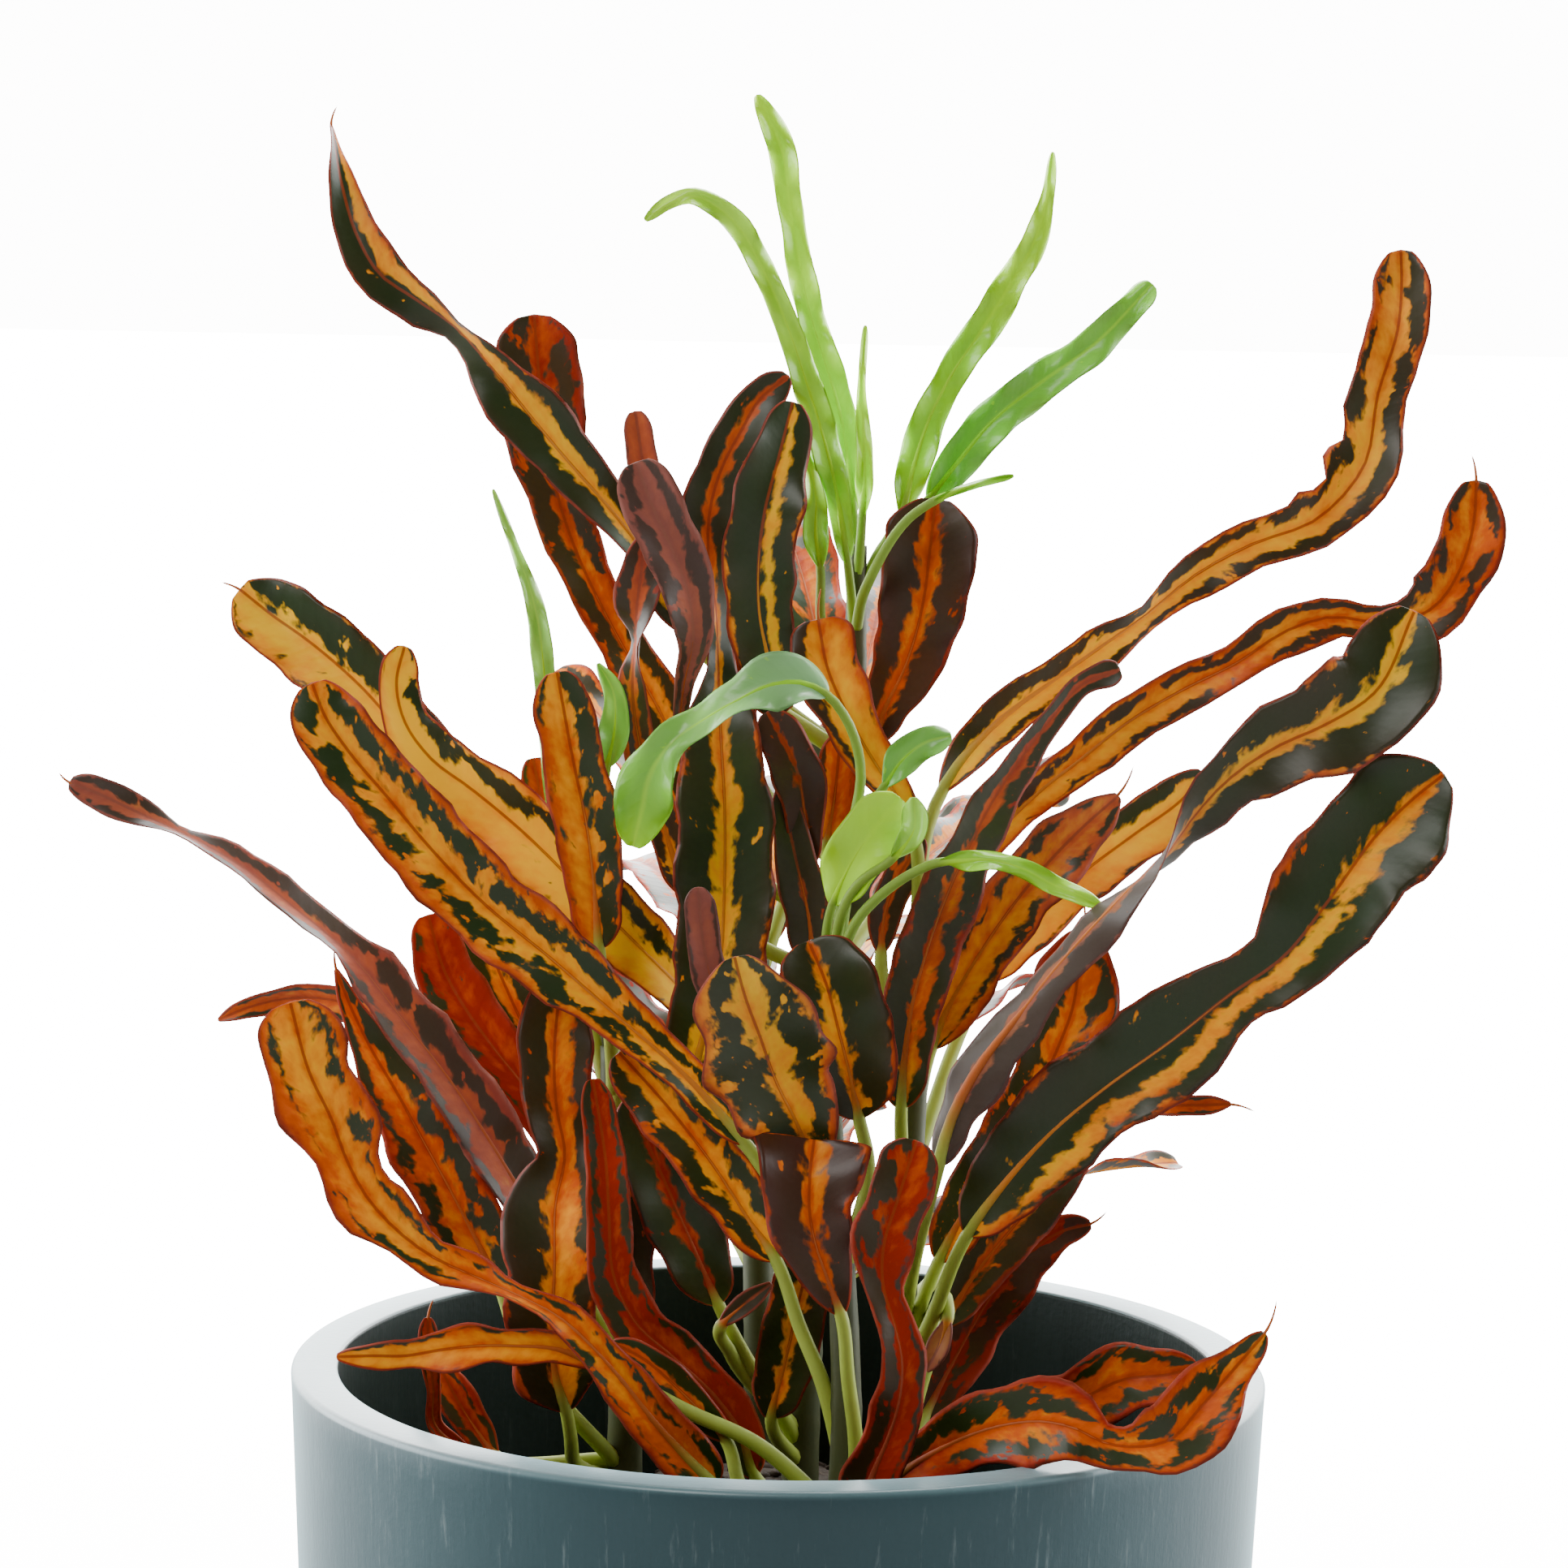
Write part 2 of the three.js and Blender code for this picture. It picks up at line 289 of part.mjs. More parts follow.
const SHOOT_LEAVES = {
  green_shoot_top: [
    ["arched", 269, [], [0.2, 3],
      [[8.8, 283, -4, 0, 1.5], [6.9, 294, -2, 0, 2.2], [4.6, 303, -1, 0, 2.6], [2, 311, 0, 0, 2.5],
        [-0.6, 318.5, 0, 0, 2.2], [-3.7, 326, 0, 0, 2], [-6.7, 332, 0, 0, 2], [-9.6, 336.8, 0, 0, 2.1],
        [-13, 339.9, 0, 0, 1.8], [-17.3, 341.7, 0, 0, 1.5], [-21, 340.5, 0, 0, 1.2], [-24.8, 337.6, 0, 0, 0.9]]],
    ["tallest", 279, [], [0.2, 3],
      [[9.6, 291, -12, 0, 1.8], [8.6, 300, -13, 0, 2.6], [6.6, 309, -14, 0, 2.8], [4, 317, -14, 0, 2.6],
        [1.8, 324, -15, 0, 2.4], [0.2, 331, -16, 0, 2.3], [-1.6, 340.5, -16, 0, 2.1], [-3.2, 349.8, -16, 0, 2.4],
        [-7.2, 358, -16, 0, 1.2]]],
    ["narrow_middle", 277, [], [0.1, 3],
      [[11, 290.5, -6, 0, 1.1], [11.3, 297, -6, 0, 1.6], [10.9, 304, -6, 0, 1.3], [10.5, 311, -6, 0, 0.8],
        [10.9, 321.5, -6, 0, 0.6]]],
    ["short_left", 266, [[5.2, 272, -4]], [0.1, 3],
      [[4.4, 282, -3, 0, 1.3], [3.6, 287.5, -2, 0, 2.2], [3.5, 293, -1, 0, 1.8], [2.4, 299, -1, 0, 0.9],
        [0.6, 305.5, -1, 0, 0.6]]],
    ["upright_right", 274, [[13.2, 283.5, -8]], [0.2, 3],
      [[17.2, 291, -8, 0, 1.8], [19.2, 299, -8, 0, 3], [21.6, 307, -8, 0, 2.9], [25, 314, -8, 0, 2.6],
        [29.6, 321, -8, 0, 3], [34, 328.5, -8, 0, 2.6], [37.7, 335.5, -8, 0, 2.2], [39.7, 343, -8, 0, 1.2],
        [40.3, 349.8, -8, 0, 0.7]]],
    ["blade_right", 276, [[14.5, 286, -12]], [0.2, 3],
      [[21.5, 293.5, -14, 0, 2.4], [26, 299.4, -15, 0, 3.3], [31.6, 306.4, -16, 0, 3.6], [39.3, 312.8, -17, 0, 3.4],
        [47.3, 318.7, -18, 0, 3], [56.8, 329, -19, 0, 2.2]]],
    ["spike_right", 271, [[12, 279.5, 1], [19.5, 291.3, 4]], [0, 2],
      [[22.5, 293.3, 5, 0, 0.6], [29, 296, 5, 0, 0.7], [35.3, 297.7, 5, 0, 0.6]]],
  ],
  green_shoot_front: [
    ["lime_front", 214, [], [0.2, 4],
      [[7.4, 227, 27, 0, 2.6], [9.6, 232.5, 28, 0, 4.6], [12.8, 238, 29, 0, 5.2], [18, 245, 29, 0, 4]]],
    ["curly_pale", 216, [[12, 231, 30]], [0.2, 3],
      [[17, 234.8, 31, 0, 1.4], [20.4, 239.5, 32, 0, 2.2], [20.2, 245, 32, 20, 1.4]]],
    ["thin_arch", 206, [[13, 226.5, 30], [20, 232.3, 31]], [0.1, 3],
      [[24, 234.2, 32, 20, 1], [28.4, 234.7, 33, 10, 1.8], [33.2, 234.9, 34, 10, 1.2], [38.2, 233.6, 35, 0, 1.6],
        [43.2, 231.1, 35, 0, 1.7], [47.5, 229.4, 36, 0, 1.4], [51.6, 227.3, 36, 0, 0.8]]],
    ["blue_green", 212, [[10.5, 240, 24], [12, 251, 24], [8.6, 259.5, 25]], [0.1, 4],
      [[3.4, 264.9, 26, 50, 3], [-3, 264.4, 27, 52, 3.6], [-9.4, 261.4, 28, 52, 3.4], [-15.4, 258.4, 28, 45, 2.8],
        [-20.6, 254.6, 28, 20, 3.6], [-24.4, 249.6, 28, 0, 5.4], [-24.8, 243.6, 27, 0, 5.2], [-23.4, 235.8, 26, 0, 4]]],
    ["mid_green", 206, [[10, 230, 21], [11.5, 240, 20]], [0.1, 2.5],
      [[15.4, 246.6, 18, 0, 1.8], [18.6, 251.4, 18, 0, 2.9], [22, 254, 18, 0, 2.8], [26.2, 255.2, 18, 0, 1.8]]],
  ],
  green_shoot_left: [
    ["pale_left", 224, [], [0.1, 5],
      [[-37.8, 240, -6, 0, 1.4], [-38.8, 251, -6, 0, 1.7], [-39.8, 262, -6, 0, 1.8], [-40.8, 271, -6, 0, 1.9],
        [-42.6, 278.5, -6, 0, 1.3], [-45, 284.5, -6, 0, 0.9], [-48.6, 294, -6, 0, 0.6]]],
    ["small_green", 221, [[-31, 238, 8]], [0.1, 3],
      [[-29.6, 249, 11, 0, 2.2], [-28.4, 255.5, 12, 0, 2.6], [-28.8, 261.5, 12, 0, 1.7], [-31.3, 266, 12, 0, 0.8]]],
  ],
};

// Leaves of the plant's far side grow by a rule: round the stem by the golden angle inside a fan of
// directions, up the stem by even steps, each rising and then arching over under its own weight.
const GOLDEN_ANGLE = 137.508;
const BACK_LEAVES = [
  { stem: 'leafy_stem_back', count: 12, from: 142, to: 208, fan: [36, 144], seed: 11 },
  { stem: 'leafy_stem_tall', count: 3, from: 205, to: 250, fan: [60, 120], seed: 31 },
];

function randomDraws(seed) {
  let state = seed;
  return () => {
    state = (state * 16807) % 2147483647;
    return state / 2147483647;
  };
}

// Solids

function toSolid(geometry) {
  const bare = geometry.clone();
  bare.deleteAttribute('normal');
  bare.deleteAttribute('uv');
  const merged = mergeVertices(bare, 1e-4);
  const corners = merged.index.array;
  const kept = [];
  for (let i = 0; i < corners.length; i += 3) {
    const [a, b, c] = [corners[i], corners[i + 1], corners[i + 2]];
    if (a !== b && b !== c && c !== a) kept.push(a, b, c);
  }
  const mesh = new wasm.Mesh({
    numProp: 3,
    vertProperties: new Float32Array(merged.attributes.position.array),
    triVerts: new Uint32Array(kept),
  });
  return new wasm.Manifold(mesh);
}

function toGeometry(solid) {
  const mesh = solid.getMesh();
  const geometry = new THREE.BufferGeometry();
  geometry.setAttribute('position', new THREE.BufferAttribute(mesh.vertProperties, 3));
  geometry.setIndex(new THREE.BufferAttribute(mesh.triVerts, 1));
  geometry.computeVertexNormals();
  return geometry;
}

function fuse(solids) {
  return solids.reduce((whole, solid) => whole.add(solid));
}

// A body swept through rings of points, closed at both ends: each ring has the same number of points
// and runs right-handed about the way. Sides in `turned` are divided along the other diagonal.
function sweepRings(rings, turned = []) {
  const sides = rings[0].length;
  const position = rings.flatMap((ring) => ring.flatMap((point) => point.toArray()));
  const index = [];
  for (let k = 0; k + 1 < rings.length; k += 1) {
    for (let j = 0; j < sides; j += 1) {
      const a = k * sides + j;
      const b = k * sides + ((j + 1) % sides);
      const c = b + sides;
      const d = a + sides;
      if (turned.includes(j)) index.push(a, b, d, b, c, d);
      else index.push(a, b, c, a, c, d);
    }
  }
  const last = (rings.length - 1) * sides;
  for (let j = 1; j + 1 < sides; j += 1) {
    index.push(0, j + 1, j);
    index.push(last, last + j, last + j + 1);
  }
  const geometry = new THREE.BufferGeometry();
  geometry.setAttribute('position', new THREE.Float32BufferAttribute(position, 3));
  geometry.setIndex(index);
  return geometry;
}

// Smooth interpolation of rows of numbers; the first three are a place, and the rows are spaced by
// the distance between those places.
function smoothRows(rows) {
  const knots = [0];
  for (let i = 1; i < rows.length; i += 1) {
    const step = Math.hypot(...[0, 1, 2].map((c) => rows[i][c] - rows[i - 1][c]));
    knots.push(knots[i - 1] + step);
  }
  const steep = (i, c) => (rows[i + 1][c] - rows[i][c]) / (knots[i + 1] - knots[i]);
  const slope = (i, c) => {
    if (i === 0) return steep(0, c);
    if (i === rows.length - 1) return steep(i - 1, c);
    const before = knots[i] - knots[i - 1];
    const after = knots[i + 1] - knots[i];
    return (steep(i - 1, c) * after + steep(i, c) * before) / (before + after);
  };
  const at = (t) => {
    let i = 0;
    while (i < rows.length - 2 && t > knots[i + 1]) i += 1;
    const span = knots[i + 1] - knots[i];
    const u = (t - knots[i]) / span;
    return rows[i].map((value, c) => {
      const next = rows[i + 1][c];
      const rise = span * slope(i, c);
      const fall = span * slope(i + 1, c);
      return value * (1 + 2 * u) * (1 - u) ** 2 + rise * u * (1 - u) ** 2
        + next * u * u * (3 - 2 * u) + fall * u * u * (u - 1);
    });
  };
  return { knots, length: knots[knots.length - 1], at };
}

function place(across, up, toward) {
  const onPlane = new THREE.Vector3(across, 0, up);
  return new THREE.Vector3().lerpVectors(EYE, onPlane, 1 + toward / EYE.y);
}

function roundEnd(share) {
  const rest = 1 - Math.min(1, Math.max(0, share));
  return Math.sqrt(1 - rest * rest);
}

// A leaf's spine: rows [x, y, z, roll, half width] from the stem to the tip, the knot at which the
// blade begins, and the direction that its upper face looks in at roll 0.
function spineFromView(row, stemPoint) {
  const [, , via, , blade] = row;
  const stalk = via.map(([across, up, toward]) => place(across, up, toward).toArray());
  const [firstRoll, firstHalf] = [blade[0][3], blade[0][4]];
  const rows = [stemPoint, ...stalk].map((point) => [...point, firstRoll, firstHalf]);
  for (const [across, up, toward, roll, half] of blade) {
    rows.push([...place(across, up, toward).toArray(), roll, half]);
  }
  return { rows, bladeStart: 1 + via.length, face: (point) => EYE.clone().sub(point) };
}

// Where along its spine a leaf has a section: along the stalk, round the base, at the blade's own
// stations, and round the tip.
function leafMarks(curve, start, tipLength) {
  const end = curve.length;
  const stalkSteps = Math.max(1, Math.round(start / STALK_STEP));
  const stalk = Array.from({ length: stalkSteps }, (_, i) => (start * i) / stalkSteps);
  const base = start + BASE_LENGTH;
  const tip = end - tipLength;
  const blade = curve.knots.filter((t) => t > base + STATION_GAP && t < tip - STATION_GAP);
  return [...stalk, start, start + BASE_LENGTH * 0.3, base, ...blade, tip, end - tipLength * 0.35, end];
}

function leafSolid(spine, wave, tipLength, stalkHalf) {
  const curve = smoothRows(spine.rows);
  const start = curve.knots[spine.bladeStart];
  const end = curve.length;
  const rings = leafMarks(curve, start, tipLength).map((t) => {
    const [x, y, z, roll, half] = curve.at(t);
    const point = new THREE.Vector3(x, y, z);
    const ahead = new THREE.Vector3(...curve.at(Math.min(end, t + 0.5)));
    const behind = new THREE.Vector3(...curve.at(Math.max(0, t - 0.5)));
    const along = ahead.sub(behind).normalize();
    const toFace = spine.face(point);
    const flat = toFace.addScaledVector(along, -toFace.dot(along)).normalize();
    const right = new THREE.Vector3().crossVectors(along, flat);
    const angle = THREE.MathUtils.degToRad(roll);
    const normal = flat.clone().multiplyScalar(Math.cos(angle)).addScaledVector(right, Math.sin(angle));
    const side = new THREE.Vector3().crossVectors(along, normal);
    const opened = roundEnd((t - start) / BASE_LENGTH);
    const closed = roundEnd(TIP_BLUNT + ((1 - TIP_BLUNT) * (end - t)) / tipLength);
    const width = Math.max(TIP_WIDTH, half * opened * closed);
    const reach = stalkHalf * (1 - opened) + width * Math.cos(FOLD) * opened;
    const thin = THREE.MathUtils.lerp(stalkHalf / 2, BLADE_HALF_THICKNESS, opened);
    const rib = THREE.MathUtils.lerp(stalkHalf, RIB_HALF_THICKNESS, opened);
    const swing = wave * opened * closed * Math.sin((2 * Math.PI * (t - start)) / WAVE_LENGTH);
    const lift = opened * width * Math.sin(FOLD);
    const corner = (across, rise) => point.clone().addScaledVector(side, across).addScaledVector(normal, rise);
    return [
      corner(0, rib),
      corner(reach, lift + swing + thin),
      corner(reach, lift + swing - thin),
      corner(0, -rib),
      corner(-reach, lift - swing - thin),
      corner(-reach, lift - swing + thin),
    ];
  });
  return toSolid(sweepRings(rings, [2, 5]));
}

function stemAxis(path) {
  const curve = smoothRows(path);
  const pointAtHeight = (height) => {
    let best = path[0];
    for (let t = 0; t <= curve.length; t += 0.5) {
      const point = curve.at(t);
      if (Math.abs(point[2] - height) < Math.abs(best[2] - height)) best = point;
    }
    return best.slice(0, 3);
  };
  return { curve, pointAtHeight };
}

function tubeSolid(path, [rootRadius, topRadius], sides) {
  const { curve } = stemAxis(path);
  const steps = Math.max(2, Math.round(curve.length / 16));
  const rings = [];
  for (let i = 0; i <= steps; i += 1) {
    const share = i / steps;
    const t = curve.length * share;
    const centre = new THREE.Vector3(...curve.at(t));
    const ahead = new THREE.Vector3(...curve.at(Math.min(curve.length, t + 0.5)));
    const behind = new THREE.Vector3(...curve.at(Math.max(0, t - 0.5)));
    const along = i === 0 || i === steps ? new THREE.Vector3(0, 0, 1) : ahead.sub(behind).normalize();
    const right = new THREE.Vector3(0, 1, 0).cross(along).normalize();
    const front = new THREE.Vector3().crossVectors(along, right);
    const radius = THREE.MathUtils.lerp(rootRadius, topRadius, share);
    rings.push(Array.from({ length: sides }, (_, j) => {
      const angle = (2 * Math.PI * j) / sides;
      return centre.clone().addScaledVector(right, radius * Math.cos(angle))
        .addScaledVector(front, radius * Math.sin(angle));
    }));
  }
  return toSolid(sweepRings(rings));
}

// Far-side leaves

function backSpine(axis, height, azimuth, lean, length, half, droop) {
  const root = axis.pointAtHeight(height);
  const outward = new THREE.Vector3(Math.cos(azimuth), Math.sin(azimuth), 0);
  const rows = [[...root, 0, half * 0.5]];
  const stations = 6;
  const stalk = 20;
  let point = new THREE.Vector3(...root);
  let pitch = lean;
  for (let i = 0; i <= stations; i += 1) {
    const step = i === 0 ? stalk : length / stations;
    point = point.clone().addScaledVector(outward, step * Math.cos(pitch));
    point.z += step * Math.sin(pitch);
    pitch -= droop / stations;
    const share = i / stations;
    const width = half * (0.62 + 0.38 * Math.sin(Math.PI * Math.min(1, share * 1.15)));
    rows.push([...point.toArray(), 14 * Math.sin(7 * share + height), width]);
  }
  const face = () => new THREE.Vector3(-0.75 * outward.x, -0.75 * outward.y, 1);
  return { rows, bladeStart: 1, face };
}

function backLeafSolids(stemName, axis) {
  const solids = [];
  for (const group of BACK_LEAVES.filter((entry) => entry.stem === stemName)) {
    const draw = randomDraws(group.seed);
    for (let i = 0; i < group.count; i += 1) {
      const share = (i + 0.5) / group.count;
      const turn = ((i * GOLDEN_ANGLE) / 360) % 1;
      const azimuth = THREE.MathUtils.degToRad(group.fan[0] + turn * (group.fan[1] - group.fan[0]));
      const height = group.from + share * (group.to - group.from);
      const lean = 0.45 + 0.45 * share + 0.15 * draw();
      const length = 66 + 22 * draw() - 8 * share;
      const half = 5.2 + 1.8 * draw();
      const droop = 0.5 + 0.7 * draw();
      const spine = backSpine(axis, height, azimuth, lean, length, half, droop);
      solids.push(leafSolid(spine, 0.4 + 0.5 * draw(), 6, STALK_HALF));
    }
  }
  return solids;
}

// Pieces

function potSolid() {
  const innerAt = (z) => BASE_RADIUS - RIM_WALL + ((RIM_RADIUS - BASE_RADIUS) * z) / POT_HEIGHT;
  const profile = [
    [0, 0],
    [BASE_RADIUS - FOOT_BEVEL, 0],
    [BASE_RADIUS, FOOT_BEVEL],
    [RIM_RADIUS, POT_HEIGHT - RIM_BEVEL],
    [RIM_RADIUS - RIM_BEVEL, POT_HEIGHT],
    [innerAt(POT_HEIGHT) + 0.6, POT_HEIGHT],
    [innerAt(POT_HEIGHT), POT_HEIGHT - 0.6],
    [innerAt(FLOOR_THICKNESS), FLOOR_THICKNESS],
    [0, FLOOR_THICKNESS],
  ].map(([radius, height]) => new THREE.Vector2(radius, height));
  const lathe = new THREE.LatheGeometry(profile, ROUND_SIDES);
  lathe.rotateX(Math.PI / 2);
  return toSolid(lathe);
}

function soilBody() {
  const innerAt = (z) => BASE_RADIUS - RIM_WALL + ((RIM_RADIUS - BASE_RADIUS) * z) / POT_HEIGHT - CLEARANCE;
  const bottom = FLOOR_THICKNESS + CLEARANCE;
  const profile = [[0, bottom], [innerAt(bottom), bottom], [innerAt(SOIL_AT_WALL), SOIL_AT_WALL]];
  profile.push(...SOIL_TOP.slice().reverse());
  const lathe = new THREE.LatheGeometry(profile.map(([r, z]) => new THREE.Vector2(r, z)), ROUND_SIDES);
  lathe.rotateX(Math.PI / 2);
  return toSolid(lathe);
}

function holeSolid([x, y], radius) {
  const depth = POT_HEIGHT - STEM_FOOT;
  const hole = new THREE.CylinderGeometry(radius, radius, depth, HOLE_SIDES);
  hole.rotateX(Math.PI / 2);
  hole.translate(x, y, STEM_FOOT - CLEARANCE + depth / 2);
  return toSolid(hole);
}

function soilSolid() {
  return Object.values(STEMS).reduce((soil, stem) => {
    const grownRadius = (stem.radius[0] + CLEARANCE) / Math.cos(Math.PI / HOLE_SIDES);
    return soil.subtract(holeSolid(stem.path[0], grownRadius));
  }, soilBody());
}

function leafSolids(rows, axis, stalkHalf) {
  return rows.map((row) => {
    const [, height, , [wave, tipLength]] = row;
    return leafSolid(spineFromView(row, axis.pointAtHeight(height)), wave, tipLength, stalkHalf);
  });
}

function leafyStem(name) {
  const { path, radius } = STEMS[name];
  const [x, y] = path[0];
  const rooted = [[x, y, STEM_FOOT], [x, y, 112], ...path];
  const axis = stemAxis(rooted);
  const leaves = leafSolids(LEAVES[name], axis, STALK_HALF);
  return [tubeSolid(rooted, radius, STEM_SIDES), ...leaves, ...backLeafSolids(name, axis)];
}

function greenShoot(name) {
  const { path, radius } = SHOOTS[name];
  const leaves = leafSolids(SHOOT_LEAVES[name], stemAxis(path), SHOOT_STALK_HALF);
  return [tubeSolid(path, radius, SHOOT_SIDES), ...leaves];
}

function pieceMesh(name, solid, color, roughness) {
  const material = new THREE.MeshStandardMaterial({ color, roughness, metalness: 0 });
  const mesh = new THREE.Mesh(toGeometry(solid), material);
  mesh.name = name;
  return mesh;
}

const POT_COLOR = 0x5f7d87;
const SOIL_COLOR = 0x1d1a16;
const LEAF_COLOR = 0xb5601c;
const SHOOT_COLOR = 0x7fae2e;

const plant = new THREE.Group();
plant.add(pieceMesh('pot', potSolid(), POT_COLOR, 0.75));
plant.add(pieceMesh('potting_soil', soilSolid(), SOIL_COLOR, 0.95));
for (const name of Object.keys(STEMS)) {
  plant.add(pieceMesh(name, fuse(leafyStem(name)), LEAF_COLOR, 0.35));
}
for (const name of Object.keys(SHOOTS)) {
  plant.add(pieceMesh(name, fuse(greenShoot(name)), SHOOT_COLOR, 0.4));
}

export default plant;
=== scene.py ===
# %% [markdown]
# # A potted croton
# A narrow-leaved croton in a blue-grey cover pot: long twisted leaves with yellow, orange and red
# bands on a dark ground, and a few fresh green shoots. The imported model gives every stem's place.
# This script swaps the plain solids for finer leaves, stems, pot and soil that keep their form.

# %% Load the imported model
import math
import random

import bmesh
import bpy
from mathutils import Matrix, Vector, noise


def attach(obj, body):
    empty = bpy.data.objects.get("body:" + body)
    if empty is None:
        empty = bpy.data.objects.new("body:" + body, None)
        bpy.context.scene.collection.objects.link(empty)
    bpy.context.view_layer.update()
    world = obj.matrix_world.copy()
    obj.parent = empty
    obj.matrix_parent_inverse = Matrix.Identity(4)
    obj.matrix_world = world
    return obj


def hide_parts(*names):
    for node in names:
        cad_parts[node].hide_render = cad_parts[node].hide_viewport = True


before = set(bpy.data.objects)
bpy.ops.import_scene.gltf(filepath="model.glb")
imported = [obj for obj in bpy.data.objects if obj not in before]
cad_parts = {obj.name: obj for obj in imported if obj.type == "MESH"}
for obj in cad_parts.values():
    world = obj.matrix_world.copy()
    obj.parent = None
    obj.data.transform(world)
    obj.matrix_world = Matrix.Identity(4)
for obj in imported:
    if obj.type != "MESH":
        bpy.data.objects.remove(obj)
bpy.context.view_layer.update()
MM = 0.001
print("nodes:", sorted(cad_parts))

# %% [markdown]
# ## The camera
# The photograph was taken from a little above the rim with a long lens. The camera comes first,
# because the leaves' places are given as they are seen from it: across and up on the upright
# plane through the pot's axis, and how far a point stands toward the eye.

# %% Set the camera where the photograph was taken
EYE = Vector((0.0, -1000.0, 398.0))
PITCH_DOWN = 8.6
ROLL = 1.05
YAW = 0.047
LENS = 143.06
SENSOR = 36.0


def link(name, data):
    thing = bpy.data.objects.new(name, data)
    bpy.context.scene.collection.objects.link(thing)
    return thing


def turned(degrees, axis):
    return Matrix.Rotation(math.radians(degrees), 4, axis)


camera_data = bpy.data.cameras.new("camera")
camera_data.sensor_width = SENSOR
camera_data.lens = LENS
camera = link("camera", camera_data)
aim = turned(YAW, "Z") @ turned(90.0 - PITCH_DOWN, "X") @ turned(ROLL, "Z")
camera.matrix_world = Matrix.Translation(EYE * MM) @ aim
bpy.context.scene.camera = camera
print("camera at", tuple(round(v, 3) for v in camera.location), "m, lens", LENS, "mm")


def place(across, up, toward):
    return EYE.lerp(Vector((across, 0.0, up)), 1.0 - toward / 1000.0)


# %% [markdown]
# ## Where each leaf grows
# These are the plant's own places, in millimetres. They are the same as in the solids, but for one
# leaf, blue_green, that follows the photograph more closely. One row a leaf: its name; the height
# at which its stalk leaves the stem; points that the stalk passes; the size of its edge waves and
# the length of its rounded tip; and the blade's stations from base to tip, each with its place, its
# roll in degrees and its half width.

# %% Stems, shoots and leaves
# A stem: its radius at foot and top, and the points that its axis passes. Its foot is in the soil.
STEM_FOOT = 88.0
STEM_ROOTED = 112.0
STEMS = {
    "leafy_stem_tall": (
        [3.6, 2.3], [[4, 8, 136], [5, 8, 175], [7, 8, 215], [9.5, 8, 245], [10.3, 8, 263]],
    ),
    "leafy_stem_left": ([3.6, 2.2], [[-25, -2, 136], [-25.5, -2, 160], [-27, -1, 185], [-28, 0, 203]]),
    "leafy_stem_right": ([3.4, 2.2], [[20, -4, 136], [20, -4, 165], [21, -2, 190], [22, 0, 214]]),
    "leafy_stem_front": ([3.4, 2.2], [[11, -31, 136], [11, -31, 150], [10, -29, 170], [8.5, -26, 186]]),
    "leafy_stem_back": ([3.4, 2.2], [[-3, 36, 136], [-4, 38, 165], [-5, 41, 195], [-5, 43, 225]]),
}

SHOOTS = {
    "green_shoot_top": ([2.1, 1.5], [[10.3, 8, 263.4], [10.4, 8, 270], [10.4, 8, 277], [10.6, 8, 285]]),
    "green_shoot_front": (
        [2.0, 1.7], [[8.4, -26, 186.4], [7.6, -25.5, 198], [6.4, -25, 210], [6.6, -25, 221]],
    ),
    "green_shoot_left": ([1.8, 1.2], [[-28, 0, 203.4], [-30, 1, 212], [-32, 2, 222], [-33, 3, 231]]),
}

